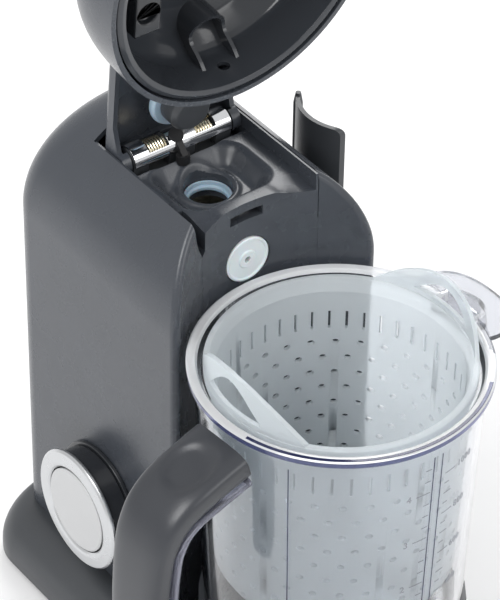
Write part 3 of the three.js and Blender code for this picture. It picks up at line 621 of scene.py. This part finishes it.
def make_face():
    """The hollow face and the deck on top of it, one moulding."""
    half = RECESS_HALF - 0.3
    bottom = RIM + 18
    columns, rows = 84, 90
    verts, faces = [], []
    for layer in (0, 1):
        for i in range(columns + 1):
            for j in range(rows + 1):
                y = -half + 2 * half * j / rows
                front = -math.sqrt(FACE_R**2 - y * y)
                x = TROUGH_X + (front - TROUGH_X) * i / columns
                verts.append((x, y, bottom if layer else deck_height(x, y)))
    width = rows + 1
    size = (columns + 1) * width
    for i in range(columns):
        for j in range(rows):
            a = i * width + j
            faces.append([a, a + 1, a + width + 1, a + width])
            faces.append([size + a, size + a + 1, size + a + width + 1, size + a + width])
    for i in range(columns):
        for a in (i * width, i * width + rows):
            faces.append([a, a + width, size + a + width, size + a])
    for j in range(rows):
        for a in (j, columns * width + j):
            faces.append([a, a + 1, size + a + 1, size + a])
    deck = new_object("deck", verts, faces)
    low = SLOT_TIP_Z - 0.6
    slot = [(-23.4, RIM + 60), (-23.4, low + 2), (-25.4, low), (-33, low), (-33, RIM + 60)]
    cut(deck, prism(slot, "yz", -76, -40))
    cut(deck, disc(INLET_R, RIM, RIM + 80, INLET_X, 0, 96))
    cut(deck, block((-74, -50), (-8.1, 8.1), (RIM + 29.4, RIM + 33.9)))
    trough = block((RECESS_X + 0.3, TROUGH_X + 2), (-half, half), (TROUGH_Z - 2.4, TROUGH_Z))
    join(deck, trough)
    # Thin side walls that close the recess up to the casing, and stop short of the lid's tail.
    walls = gather(
        block((RECESS_X + 0.3, -50), (-half, -29.85), (TROUGH_Z - 2, RIM + 44.2)),
        block((RECESS_X + 0.3, -50), (29.85, half), (TROUGH_Z - 2, RIM + 44.2)),
    )
    cut(walls, disc(FACE_R, 0, 400, 0, 0, 256))
    cut(walls, prism(slot, "yz", -76, -40))
    join(deck, walls)
    opening = strip_outline(25.6, RECESS_HALF - 0.02)
    sheet = common(
        ring(FACE_R, FACE_R + WALL, FOOT_Z, RIM + 22, 0, 0, 256),
        prism([(max(y, -30.98) + 0.3 * (y < 0), z) for y, z in opening], "yz", -80, -20),
    )
    for form in (sheet, deck):
        cut(form, facing_ahead(disc(PORT_R + 0.5, -66.0, -50, 0, 0, 64), 0, PORT_Y, PORT_Z))
        cut(form, facing_ahead(disc(3.6, -90, -50, 0, 0, 32), 0, PORT_Y, PORT_Z))
    join(sheet, deck)
    piece(sheet, "face_and_deck", "machine", CHARCOAL, ["front_face"], 0.35, 40)


make_face()

seal = lathe(
    [
        (8.4, INLET_Z - 6.5, 0.3), (INLET_R - 0.25, INLET_Z - 6.5, 0.3),
        (INLET_R - 0.25, INLET_Z - 2.4, 0.4), (9.3, INLET_Z - 2.4, 0.4),
        (9.1, INLET_Z - 4.2, 0.3), (8.2, INLET_Z - 4.8, 0.4), (8.2, INLET_Z - 5.8, 0.3),
    ],
    96, (INLET_X, 0),
)
piece(seal, "inlet_ring", "machine", SILICONE, ["inlet_seal"])

port = lathe(
    [
        (1.5, -69.5), (3.1, -69.5), (3.1, -65.7, 0.3), (PORT_R, -65.7, 0.5),
        (PORT_R, -63.8, 0.4), (PORT_R - 0.9, -63.6, 0.2), (PORT_R - 1.6, -64.2),
        (4.4, -64.2), (3.8, -63.7), (1.5, -63.7),
    ],
    72,
)
port = facing_ahead(port, 0, PORT_Y, PORT_Z)
piece(port, "steam_outlet", "machine", WHITE_SILICONE, ["steam_seal"])


# ------------------------ hinge
def make_hinge():
    x, z = HINGE.x, HINGE.z
    bracket = block((x - 8, x + 5.4), (-24.5, 24.5), (TROUGH_Z + 0.3, TROUGH_Z + 3))
    for start, end in ((-24.5, -17.0), (-6.4, 6.4), (17.0, 24.5)):
        side = arc(x, z, 5.4, 0, 180, 24) + [(x - 5.4, TROUGH_Z + 1), (x + 4.2, TROUGH_Z + 1)]
        join(bracket, prism(side, "xz", start, end))
    cut(bracket, rod(2.9, x, z, -40, 40))
    piece(bracket, "hinge_seat", "machine", DARK, ["hinge_bracket"], 0.35)

    profile = [(0, -28.8, 0), (2.6, -28.8, 0.5), (2.6, 28.8, 0.5), (0, 28.8, 0)]
    pin = turn(lathe(profile, 48), Matrix.Rotation(math.radians(90), 4, "X"))
    turn(pin, Matrix.Translation((x, 0, z)))
    piece(pin, "pin", "machine", CHROME, ["hinge_pin"])

    # A polished sleeve over the whole width, open on top over each spring.
    sleeve = prism(arc(x, z, 6.3, 0, 360, 64)[:-1], "xz", -24.2, 24.2)
    cut(sleeve, rod(5.6, x, z, -30, 30, 64))
    for start, end in ((-16.8, -6.6), (6.6, 16.8)):
        cut(sleeve, block((x - 12, x + 5.3), (start, end), (z - 12, z + 12)))
    cut(sleeve, block((x - 12, x + 12), (-30, 30), (z - 12, z - 1)))
    piece(sleeve, "hinge_sleeve", "machine", CHROME, (), 0.2)

    for name, side in (("front", -1), ("back", 1)):
        turns, steps = 7, 22
        points = []
        for i in range(turns * steps + 1):
            a = 2 * math.pi * i / steps
            y = side * (7.4 + 8.8 * i / (turns * steps))
            points.append((x + 4.8 * math.sin(a), y, z + 4.8 * math.cos(a)))
        end = points[-1]
        points += [(x - 1.5 * k, end[1], z + 4.8 + 0.1 * k) for k in (0.6, 1.4)]
        stands_for = [f"hinge_spring_{name}"]
        wire = tube(points, 0.52, 8)
        piece(wire, f"spring_{name}", "machine", SPRING, stands_for)

    # The rubber stop: a pad that leans on the sleeve, and a lower one ahead of it on a strap.
    pads = turn(disc(3.3, 5.6, 6.5, 0, -2.1), Matrix.Rotation(math.radians(32), 4, "Y"))
    turn(pads, Matrix.Translation((x, 0, z)))
    strap = [(x + 4.6, z + 4.2), (x + 5.6, z + 4.2), (x + 10.4, z - 1.4), (x + 8, z - 4)]
    join(pads, prism(strap, "xz", -3.6, -0.8), disc(3.0, z - 5, z - 1.2, x + 8.7, -2.4))
    piece(pads, "stop_pad", "machine", RUBBER, ["hinge_bumper"], 0.25)


make_hinge()


# ------------------------ plinth
def plinth_outline(half, back, z, inset=0.0):
    h = half - inset
    corner = 22
    points = arc(0, 0, h, -90, 90, 48)
    points += arc(back + inset + corner, h - corner, corner, 90, 180, 12)
    points += arc(back + inset + corner, corner - h, corner, 180, 270, 12)
    return [(x, y, z) for x, y in points]


def plinth_form(inset):
    """The foot's outer form, or the hollow inside it."""
    top, foot, top_half, foot_half, back = 25, 3.2, 53.5, 70, -165
    levels = []
    for i in range(15):
        t = i / 14
        bulge = math.sin(t * math.pi / 2)
        half = top_half + (foot_half - top_half) * bulge
        z = top - inset - (top - inset - foot - 4) * (1 - math.cos(t * math.pi / 2))
        levels.append(plinth_outline(half, back + 3 - 3 * bulge, z, inset))
    levels.append(plinth_outline(foot_half, back, foot - (1 if inset else 0), inset))
    return loft(levels)


def make_plinth():
    base = plinth_form(0)
    turret = lathe(
        [(0, 20), (53, 20)] + rounded([(53, 35.7, 1), (49.5, 35.7, 0.6), (49.5, 50, 1.5)])
        + [(0, 50)],
        128,
    )
    join(base, turret)
    cut(base, plinth_form(WALL), disc(47, 0, 47, 0, 0, 96), disc(14, 0, 60), disc(29, 15, 30, -108))
    cord_hole = prism(arc(30, 14, 6.4, 0, 345, 23), "yz", -180, -150)
    cut(base, cord_hole)
    piece(base, "plinth_casing", "machine", DARK, ["plinth"], 0.5, 30)


make_plinth()


# ------------------------ knob
def on_knob(profile, count=96):
    """A round part of the knob; its heights are distances from the bowl's axis."""
    return facing_out(lathe(profile, count), KNOB_X, KNOB_Z)


def make_knob():
    base = on_knob([(22, 51.8), (26.8, 51.8, 0.4), (26.8, 53.6, 0.5), (22, 53.6, 0.3)])
    piece(base, "knob_seat", "machine", PIANO, ["knob_base_ring"])

    face = KNOB_FACE
    body = [
        (0, 53.9), (25.4, 53.9, 0.4), (25.4, face - 3, 0.4), (23.5, face - 2.2, 0.3),
        (19.9, face - 2.2), (19.9, face - 6, 0.3), (0, face - 6),
    ]
    piece(on_knob(body), "knob_drum", "knob", PIANO, ["knob_body"])

    bezel = [
        (20.1, face - 1.9, 0.2), (24, face - 1.9, 0.3), (25.9, face - 2.7, 0.3),
        (KNOB_R, face - 2.7, 0.5), (KNOB_R, face - 1.3, 0.7), (KNOB_R - 0.9, face - 0.4, 0.5),
        (22.0, face + 0.2, 0.6), (20.9, face - 0.2, 0.4), (20.1, face - 0.9, 0.3),
    ]
    piece(on_knob(bezel, 128), "knob_flange", "knob", SILVER, ["knob_bezel"])

    button = [
        (0, face - 3), (17, face - 3), (17, face - 1.8), (19.4, face - 1.8, 0.3),
        (19.5, face - 0.5, 0.4), (18.6, face - 0.1, 0.5), (9, face - 0.2, 3), (0, face - 0.2),
    ]
    button = on_knob(button, 128)
    piece(button, "knob_cap", "push_button", SATIN_DISC, ["knob_button"])


make_knob()


# ------------------------ bowl
def wall_radius(z):
    """Outer radius of the bowl's wall at a height."""
    share = (z - BOWL_FOOT) / (RIM - 9.5 - BOWL_FOOT)
    return 54.5 + (58.5 - 54.5) * share


def on_wall(angle, z, out=0.0):
    r = wall_radius(z) + out
    return (r * math.cos(angle), r * math.sin(angle), z)


BOWL_LOOKS = [CLEAR, CLEAR_PAINTED_SHADE, CLEAR_RIM, CLEAR_LOBE]
RIB_SECTION = ((-1, 0.1), (1, 0.1), (0.6, 0.4), (-0.6, 0.4))  # share of the width, height


def bowl_look(centre):
    """Which look a face of the bowl has: darker navy lines round the rim, painted shade for the
    dark edge of the clear rim, and a grey spout.
    """
    x, y, z = centre
    r = math.hypot(x, y)
    around = math.degrees(math.atan2(y, x))
    if y > 52 and r > 60.3 and z > RIM - 9.2:
        return BOWL_LOOKS.index(CLEAR_LOBE)
    # Painted shade: a dark line round the rim's outer band, and one on its top only on the near
    # side.
    outer_shade_line = 61.4 < r < 62.2 and RIM - 3.0 < z < RIM - 0.7
    top_shade_line = 59.9 < r < 61.5 and z > RIM - 0.5 and -75 < around < 42
    if outer_shade_line or top_shade_line:
        return BOWL_LOOKS.index(CLEAR_PAINTED_SHADE)
    if 57.0 < r < 62.5 and z > RIM - 3.5:
        return BOWL_LOOKS.index(CLEAR_RIM)
    return BOWL_LOOKS.index(CLEAR)


def add_spout(cup):
    """A flat lobe on the rim, with a raised channel in its middle."""
    lobe = [(-23, 52), (23, 52), (23, 56)]
    lobe += bezier((23, 56), (27, 66), (20, 77.2), (3, 77.2), 18)
    lobe += bezier((3, 77.2), (-16, 77.2), (-25, 70), (-23, 56), 18)
    plate = prism(lobe, "xy", RIM - 2.4, RIM - 0.1)
    cut(plate, disc(60.4, 0, 300, 0, 0, 192))
    join(cup, plate)
    channel = [(-13, 50), (13.5, 50), (12.5, 57)]
    channel += bezier((12.5, 57), (11, 62), (12, 69.5), (1.5, 70.5), 16)
    channel += bezier((1.5, 70.5), (-9, 70.5), (-13, 64), (-13, 55), 16)
    lip = prism(channel, "xy", RIM - 9, RIM + 0.05)
    inner = [(x * 0.86, 49.8 + (y - 50) * 0.905) for x, y in channel]
    cut(lip, prism(inner, "xy", RIM - 7.6, RIM + 1))
    cut(lip, disc(59.0, 0, RIM + 5, 0, 0, 192))
    join(cup, lip)
    cut(cup, prism([(-10, 52), (10, 52), (9.6, 63), (-10, 63)], "xy", RIM - 6.5, RIM + 1))


def make_bowl():
    outer = [
        (0, BOWL_FOOT), (52, BOWL_FOOT, 1.5), (54.5, BOWL_FOOT + 2.5, 2), (58.5, RIM - 9.9, 0.2),
        (59.9, RIM - 9.1, 0.5), (60.2, RIM - 3.8, 0.4), (62, RIM - 2.9, 0.5), (62, RIM - 0.5, 0.5),
        (61.2, RIM, 0.5), (59.8, RIM), (58.3, RIM, 0.6), (57.4, RIM - 1.6, 0.8),
        (55.9, RIM - 4.2, 0.8), (51.9, BOWL_FOOT + 7, 4), (47.5, BOWL_FOOT + 3, 3),
        (0, BOWL_FOOT + 3),
    ]
    cup = lathe(outer, 192)
    add_spout(cup)
    cut(cup, disc(9, 0, 80, 0, 0, 48))
    for p in cup.data.polygons:
        p.material_index = bowl_look(p.center)
    piece(cup, "bowl_wall", "bowl", BOWL_LOOKS, ["bowl"], 0.0, 38)


def make_ribs():
    """Raised ribs down the wall, in the darker navy look: painted shade along each rib."""
    foot = BOWL_FOOT + 6
    steps = 24
    for name, degrees, width, top in (
        ("handle_rib", -57.9, 0.22, RIM - 10.2),
        ("scale_rib_left", 1.2, 0.16, RIM - 9.6),
        ("scale_rib_right", 5.4, 0.14, RIM - 9.6),
    ):
        a = math.radians(degrees)
        rings = []
        for i in range(steps + 1):
            z = foot + (top - foot) * i / steps
            half = width / wall_radius(z)
            rings.append([on_wall(a + s * half, z, out) for s, out in RIB_SECTION])
        piece(loft(rings), name, "bowl", CLEAR_PAINTED_SHADE)


make_bowl()
make_ribs()


def curved_text(text, angle, z, size):
    """Raised numbers that follow the bowl's wall, starting at an angle."""
    curve = bpy.data.curves.new("number", "FONT")
    curve.body = text
    curve.size = size
    curve.extrude = 0.06
    curve.space_character = 1.1
    holder = show(bpy.data.objects.new("number", curve))
    graph = bpy.context.evaluated_depsgraph_get()
    graph.update()
    mesh = bpy.data.meshes.new_from_object(holder.evaluated_get(graph))
    bpy.data.objects.remove(holder)
    for v in mesh.vertices:
        height = z + v.co.y
        v.co = Vector(on_wall(angle + v.co.x / wall_radius(height), height, 0.12 + v.co.z))
    return show(bpy.data.objects.new("number", mesh))


PRINT_IN, PRINT_OUT = 0.06, 0.18  # how far a printed mark reaches over the wall


def tick(angle, span, z, thick=0.28):
    """A short printed line round the wall."""
    rings = []
    for i in range(7):
        a = angle + span / wall_radius(z) * i / 6
        low, high = z - thick / 2, z + thick / 2
        rings.append(
            [
                on_wall(a, height, out)
                for height, out in (
                    (low, PRINT_IN), (high, PRINT_IN), (high, PRINT_OUT), (low, PRINT_OUT),
                )
            ]
        )
    return loft(rings)


MM_PER_ML = 0.1097
FULL_ML, FULL_DEPTH = 1000, 23  # the upper number in millilitres, and how far it is under the rim
CUP_DEPTH, CUP_STEP = 28.7, 6.24  # the upper number in cups under the rim, and a quarter of a cup
TEXT_R = 58
NUMBER_SIZE, NUMBER_DROP = 4.6, 1.4


def make_scales():
    marks = []

    def number(text, angle, z):
        marks.append(curved_text(text, angle, z - NUMBER_DROP, NUMBER_SIZE))

    left_edge = math.radians(8.0)
    for volume in range(100, FULL_ML + 1, 50):
        z = RIM - FULL_DEPTH - (FULL_ML - volume) * MM_PER_ML
        span = 6.0 if volume % 200 == 0 else 4.2 if volume % 100 == 0 else 2.6
        marks.append(tick(left_edge, span, z))
        if volume % 200 == 0:
            number(str(volume), left_edge + 7.4 / TEXT_R, z)
    right_edge = math.radians(0.2)
    for step in range(16):
        z = RIM - CUP_DEPTH + 12.5 - step * CUP_STEP
        whole = step % 4 == 2
        span = 6.5 if whole else 2.8
        marks.append(tick(right_edge - span / TEXT_R, span, z))
        if whole:
            number(str(4 - step // 4), right_edge - 11.0 / TEXT_R, z)
    piece(gather(*marks), "volume_scale", "bowl", PRINT)


make_scales()


# ------------------------ handle
GRIP_TURN = math.radians(-85.5)
GRIP_PATH = [
    # out from the bowl's axis, below the rim, lean of the section in degrees, half width and
    # half thickness
    (60.6, 15.5, 15, 15.5, 9.5), (66, 16.9, 16, 15.5, 9.5), (72, 18.6, 17, 15.4, 9.4),
    (81, 21.2, 20, 15.4, 9.2), (88, 24.2, 29, 15.2, 8.9), (94, 29.2, 46, 14.9, 8.5),
    (97.8, 36, 62, 14.6, 8.1), (99.8, 43, 74, 14.4, 7.8), (101.5, 58, 83, 14.2, 7.6),
    (102.3, 76, 89, 14.0, 7.5), (101.6, 94, 95, 13.8, 7.3), (100.0, 106, 99, 13.4, 7.0),
    (99.0, 111.5, 101, 12.4, 6.4), (98.5, 114.2, 102, 10.4, 5.2), (98.3, 115.2, 102, 6.5, 3.0),
]


def smooth_path(rows, steps):
    """More rows between the given ones, on a smooth curve through them."""
    result = []
    for i in range(len(rows) - 1):
        p0, p1 = rows[max(0, i - 1)], rows[i]
        p2, p3 = rows[i + 1], rows[min(len(rows) - 1, i + 2)]
        for k in range(steps):
            t = k / steps
            result.append(
                [
                    0.5 * (2 * b + (c - a) * t + (2 * a - 5 * b + 4 * c - d) * t * t
                           + (3 * b - a - 3 * c + d) * t**3)
                    for a, b, c, d in zip(p0, p1, p2, p3)
                ]
            )
    result.append(list(rows[-1]))
    return result


def along_grip(width_share, start, end, count=40, power=3.4, dent=0.0):
    """The grip between two depths: -1 is the side towards the bowl and 1 the outer side."""
    rings = []
    for out, down, lean_degrees, half_width, half_thick in smooth_path(GRIP_PATH, 4):
        lean = math.radians(lean_degrees)
        centre = half_thick * (start + end) / 2
        points = []
        for i in range(count):
            a = 2 * math.pi * i / count
            w, t = (
                math.copysign(abs(f(a)) ** (2 / power), f(a)) for f in (math.cos, math.sin)
            )
            w *= half_width * width_share
            t = centre + t * half_thick * (end - start) / 2
            if dent and t > centre:
                # The thumb's hollow, wide and shallow, on the top near the bowl.
                place = math.hypot((out - 76.5) / 11.5, w / 10.8)
                t -= dent * (1 - smooth(place, 0.72, 1.02))
            points.append((out + t * math.sin(lean), w, RIM - down + t * math.cos(lean)))
        rings.append(points)
    return turn(loft(rings), Matrix.Rotation(GRIP_TURN, 4, "Z"))


def make_handle():
    cover = along_grip(1.0, -0.42, 1.0, 64, 3.6, 1.7)
    cut(cover, disc(60.5, 0, RIM + 5, 0, 0, 192))
    piece(cover, "grip_cover", "bowl", GRIP_PLASTIC, ["handle_cover"], 0.0, 50)
    core = along_grip(0.9, -1.0, -0.47, 48, 4.5)
    cut(core, disc(60.5, 0, RIM + 5, 0, 0, 192))
    piece(core, "grip_core", "bowl", GRIP_CLEAR, ["handle_core"], 0.0, 50)


make_handle()


# ------------------------ steam basket
BASKET_FLOOR = RIM - 106
BASKET_RIM_R = 55
BASKET_WALL_R, BASKET_FOOT_R = 52.4, 50  # under the collar and above the rounded foot
FOOT_ROUND = 10  # height of the rounded foot
HOLES_ROUND, SLOTS_ROUND = 30, 44
EAR_RISE_FRONT, EAR_RISE_BACK = 20, 15
EAR_REACH = 33.5  # half the width of an ear
EAR_END_Y = 43.6  # where an ear's top edge meets the rim


def basket_radius(z):
    """Outer radius of the basket's upright wall at a height."""
    share = (z - BASKET_FLOOR - FOOT_ROUND) / (RIM - 6 - BASKET_FLOOR - FOOT_ROUND)
    return BASKET_FOOT_R + (BASKET_WALL_R - BASKET_FOOT_R) * share


def ear_height(x, rise):
    """Height over the rim of an ear's top edge, which lies in one leaning plane."""
    y = math.sqrt(BASKET_RIM_R**2 - x * x)
    return rise * (y - EAR_END_Y) / (BASKET_RIM_R - EAR_END_Y)


def ear_outline(rise):
    """One carrying ear, seen along Y."""
    xs = [EAR_REACH * (1 - i / 20) for i in range(41)]
    arch = [(-EAR_REACH, RIM - 2), (EAR_REACH, RIM - 2)]
    return arch + [(x, RIM + max(-1.0, ear_height(x, rise))) for x in xs]


def ear_hole(rise):
    """The pointed finger hole in an ear, seen along Y."""
    half, band, foot = 17.0, 4.0, 2.6
    xs = [half * (1 - i / 16) for i in range(33)]
    tops = [
        (x, RIM + foot + (ear_height(x, rise) - foot - band) * (1 - (x / half) ** 2)) for x in xs
    ]
    return tops + [(-half * 0.9, RIM + 2.2), (half * 0.9, RIM + 2.2)]


def floor_holes():
    """Rings of round holes in the floor."""
    tools = []
    for radius, count, shift in ((8, 5, 0), (16.5, 10, 0.4), (25, 15, 0.1), (34, 21, 0.2)):
        for i in range(count):
            a = 2 * math.pi * i / count + shift
            x, y = radius * math.cos(a), radius * math.sin(a)
            tools.append(disc(1.9, BASKET_FLOOR - 3, BASKET_FLOOR + 5, x, y, 12))
    return tools


def wall_holes():
    """Staggered rows of small oval holes up the wall."""
    half_width, half_height = 1.6, 1.25
    tools = []
    for row in range(9):
        z = RIM - 32 - 8 * row
        r = basket_radius(z)
        for i in range(HOLES_ROUND):
            a = 2 * math.pi * (i + 0.5 * (row % 2)) / HOLES_ROUND
            shape = [
                (half_width * math.cos(b), z + half_height * math.sin(b))
                for b in (2 * math.pi * k / 12 for k in range(12))
            ]
            peg = prism(shape, "yz", r - 9, r + 6)
            tools.append(turn(peg, Matrix.Rotation(a, 4, "Z")))
    return tools


def wall_slots():
    """Upright slots in a band under the collar."""
    half, low, high = 0.55, RIM - 25, RIM - 16
    tools = []
    for i in range(SLOTS_ROUND):
        a = 2 * math.pi * i / SLOTS_ROUND
        shape = [(-half, low), (half, low), (half, high), (-half, high)]
        tools.append(turn(prism(shape, "yz", 44, 58), Matrix.Rotation(a, 4, "Z")))
    return tools


def make_basket():
    floor = BASKET_FLOOR
    wall = 1.7
    outside = [
        (0, floor), (40, floor, 6), (46.5, floor + 2.2, 6), (50, floor + 9, 8),
        (52.3, RIM - 7, 1), (53.4, RIM - 5.9, 0.6), (55, RIM - 5.4, 0.6),
        (55.2, RIM - 0.6, 0.5), (54.4, RIM, 0.5), (52.6, RIM, 0.6), (51.6, RIM - 2.4, 0.6),
        (50.5, RIM - 6, 1), (50 - wall, floor + 10, 8), (45.8 - wall, floor + 3.9, 6),
        (40 - wall, floor + wall, 6), (0, floor + wall),
    ]
    cup = lathe(outside, 160, steps=6)
    for rise, start, end in ((EAR_RISE_FRONT, -70, 0), (EAR_RISE_BACK, 0, 70)):
        ear = ring(BASKET_RIM_R - 1.8, BASKET_RIM_R, RIM - 3, RIM + 30, 0, 0, 160)
        common(ear, prism(ear_outline(rise), "xz", start, end))
        join(cup, ear)
        cut(cup, prism(ear_hole(rise), "xz", start, end))

    cut(cup, gather(*floor_holes()))
    cut(cup, gather(*wall_holes()))
    cut(cup, gather(*wall_slots()))
    piece(cup, "basket_wall", "basket", MILKY, ["steam_basket"], 0.0, 38)


make_basket()


# ------------------------ spatula
def make_spatula():
    x, y, r, top = -95.0, 78.0, 24.0, RIM + 40.5
    sheet = ring(r - 2.0, r, 60, top + 3, x, y, 160)
    wide, stem = 15.4, 7
    outline = [(x - wide, top - 62)]
    outline += bezier(outline[0], (x - 15, top - 80), (x - 8, top - 84), (x - stem, top - 96))
    outline += arc(x, top - 155, stem, 180, 360, 16)
    outline += [(x + stem, top - 96)]
    outline += bezier(outline[-1], (x + 8, top - 84), (x + 15, top - 80), (x + wide, top - 62))
    outline += [(x + wide, top - 4.5)]
    outline += bezier(
        outline[-1], (x + wide, top - 1.5), (x + 14, top - 0.6), (x + 11, top - 0.6)
    )
    outline += [(x - wide, top - 0.6)]
    common(sheet, prism(outline, "xz", y - 30, y - 5))
    # A rolled bead down the blade's far edge.
    edge_y = y - math.sqrt((r - 1) ** 2 - 15.2**2)
    bead = tube(
        [(x - 15.6, edge_y + 0.4, top - 60 + 60.4 * i / 12) for i in range(13)],
        [1.2] + [2.1] * 11 + [1.2], 16,
    )
    join(sheet, bead)
    piece(sheet, "spatula_blade", "spatula", DARK, ["spatula"], 0.5, 35)


make_spatula()


# ------------------------ lid
def dome_form(inset, floor):
    """The lid's outer form, or the hollow inside it: a rounded square when seen from the side."""
    count, steps, power = 128, 24, 2 / 3.5
    rings = []
    for i in range(steps):
        q = i / steps * math.pi / 2
        spread = (LID_R - inset) * math.cos(q) ** power
        rise = (LID_HEIGHT - inset) * math.sin(q) ** power
        points = []
        for j in range(count):
            a = 2 * math.pi * j / count
            x, y = spread * math.cos(a), spread * math.sin(a)
            lean = 0.04 * -x * rise / LID_HEIGHT
            points.append((x, y, LID_Z + rise + lean if i else floor))
        rings.append(points)
    return loft(rings)


LID_WALL = 2.2
TAIL_HALF, TAIL_TOP, TAIL_BOTTOM, TAIL_END = 29.5, RIM + 52.6, RIM + 44.4, -115.0


def tail_form(inset, start, end, bottom):
    """The box behind the dome, softly arched on top."""
    half, top = TAIL_HALF - inset, TAIL_TOP - inset
    side, shoulder = top - 5, (half - 6, top - 0.8)
    section = [(-half, bottom), (half, bottom), (half, side)]
    section += bezier((half, side), (half, top - 2.4), (half - 2, top - 1.2), shoulder)
    section += bezier(shoulder, (6, top + 0.6), (-6, top + 0.6), (6 - half, top - 0.8), 16)
    section += bezier(
        (6 - half, top - 0.8), (2 - half, top - 1.2), (-half, top - 2.4), (-half, side)
    )
    return prism(section[:-1] + [(-half, side)], "yz", start, end)


def make_lid():
    tail = tail_form(0, TAIL_END, -10, TAIL_BOTTOM)
    cheek = [(TAIL_END, TAIL_BOTTOM + 4)] + arc(HINGE.x, HINGE.z, 5.6, 180, 360, 24)
    cheek += [(-96, TAIL_BOTTOM + 0.5), (-96, TAIL_BOTTOM + 4)]
    for start, end in ((-TAIL_HALF, -25.4), (25.4, TAIL_HALF)):
        join(tail, prism(cheek, "xz", start, end))
    cut(tail, tail_form(LID_WALL, TAIL_END + LID_WALL, -LID_R + 2, TAIL_BOTTOM - 5))
    shell = dome_form(0, LID_Z)
    join(shell, tail)
    cut(shell, dome_form(LID_WALL, LID_Z - 1))
    cut(shell, block((-70, -50), (-7.6, 6.3), (RIM + 30.2, RIM + 34.1)))
    cut(shell, rod(2.9, HINGE.x, HINGE.z, -40, 40))
    cut(shell, block((-125, -100), (-25.3, 25.3), (0, HINGE.z + 7.4)))
    cut(shell, disc(7, RIM + 40, RIM + 60, -74, 0, 64))
    piece(shell, "lid_dome", "lid", CHARCOAL, ["lid_shell"], 0.5)


make_lid()


def make_liner():
    rim = LID_Z + 0.4
    ceiling = RIM + 38.5
    section = [
        (LINER_R + 0.6, rim, 0.4), (58.2, rim - 0.6, 0.6), (60.1, rim + 0.4, 0.5),
        (60.1, rim + 4, 0.4), (57.8, rim + 4.4, 0.5), (57.5, rim + 22, 10),
        (LINER_R - 7, ceiling - 3, 6), (LINER_R - 16, ceiling, 5), (0, ceiling),
        (0, ceiling - 2), (LINER_R - 17, ceiling - 2, 5), (LINER_R - 8.5, ceiling - 5, 6),
        (LINER_R + 0.3, rim + 20, 10),
    ]
    cup = lathe(section, 160, steps=8)

    def u_shape(r, reach):
        return [(-LINER_R - 1.5, -r)] + arc(reach, 0, r, -90, 90, 24) + [(-LINER_R - 1.5, r)]

    guide = prism(u_shape(8.9, -46.4), "xy", rim + 4, ceiling - 1)
    cut(guide, prism(u_shape(7.3, -46.4), "xy", 0, 400))
    swoop = [(-80, 0), (-80, RIM + 6)]
    swoop += bezier((-80, RIM + 6), (-58, RIM + 9), (-53, RIM + 16), (-49, RIM + 23), 14)
    swoop += bezier((-49, RIM + 23), (-46, RIM + 27.5), (-42, RIM + 24.5), (-36, RIM + 23), 12)
    swoop += [(-30, RIM + 22), (-30, 0)]
    cut(guide, prism(swoop, "xz", -20, 20))
    inside = lathe(
        [
            (0, rim - 2), (LINER_R + 1.4, rim - 2), (LINER_R + 1.2, rim + 21),
            (LINER_R - 7.8, ceiling - 3.8), (LINER_R - 16.4, ceiling - 1), (0, ceiling - 1),
        ],
        96,
    )
    common(guide, inside)
    join(cup, guide)
    cut(cup, facing_ahead(disc(2.6, -70, -50, 0, 0, 32), 0, PORT_Y, RIM + 14))
    piece(cup, "lid_lining", "lid", GLOSS, ["lid_liner"], 0.0, 40)

    housing = block((-22, 22), (-45.5, -33.5), (RIM + 12, RIM + 28))
    cut(housing, disc(4.6, 0, RIM + 15, -12, -39.5, 48))
    piece(housing, "latch_box", "lid", PIANO, ["latch_housing"], 0.9)


make_liner()


def make_plug():
    x = -91.5
    cap = [
        (0, INLET_Z + 1.1), (8.0, INLET_Z + 1.1, 1.5), (9.6, INLET_Z + 3.4, 1),
        (9.6, RIM + 39.7, 0.3), (0, RIM + 39.7),
    ]
    cap = lathe(cap, 96, (x, 0))
    piece(cap, "plug_cap", "lid", DARK, ["tank_plug_cap"])
    skirt = [
        (0, RIM + 40), (12.2, RIM + 40, 0.6), (13, RIM + 41.4, 0.6), (13, RIM + 43, 0.6),
        (11.6, RIM + 44, 0.6), (5, RIM + 44, 0.6), (5, RIM + 49.8, 0.3), (0, RIM + 49.8),
    ]
    skirt = lathe(skirt, 96, (x, 0))
    piece(skirt, "plug_ring", "lid", SILICONE, ["tank_plug_seal"])
    button = [
        (0, RIM + 46.9), (6.7, RIM + 46.9, 0.3), (6.7, RIM + 53.2, 0.8), (5.4, RIM + 54.2, 1),
        (0, RIM + 54.2),
    ]
    button = lathe(button, 64, (-74, 0))
    piece(
        button, "release_cap", "release_button", SILVER, ["lid_release_button"]
    )


make_plug()


# ------------------------ stage and light
def make_stage():
    floor = block((-4000, 4000), (-4000, 4000), (-12, -0.3))
    floor.name = "floor"
    floor.data.transform(TO_FRAME)
    look = surface("floor_paint", (0.93, 0.93, 0.935), 0.6, 0.004, 300, 0.0)
    floor.data.materials.append(look)

    world = bpy.data.worlds.new("studio")
    world.use_nodes = True
    background = world.node_tree.nodes["Background"]
    background.inputs["Color"].default_value = (1, 1, 1, 1)
    background.inputs["Strength"].default_value = 0.75
    bpy.context.scene.world = world

    for name, place, size, power in (
        ("key", (0.2, -1.1, 1.5), 0.9, 16),
        ("fill", (1.6, 0.6, 1.2), 1.0, 9),
        ("rim", (-0.9, 0.9, 1.3), 0.7, 9),
    ):
        light = show(bpy.data.objects.new(name, bpy.data.lights.new(name, "AREA")))
        light.data.shape = "SQUARE"
        light.data.size = size
        light.data.energy = power
        light.location = place
        aim = Vector((-0.02, 0, 0.15)) - light.location
        light.rotation_euler = aim.to_track_quat("-Z", "Y").to_euler()
    bpy.context.scene.view_settings.view_transform = "Standard"


make_stage()
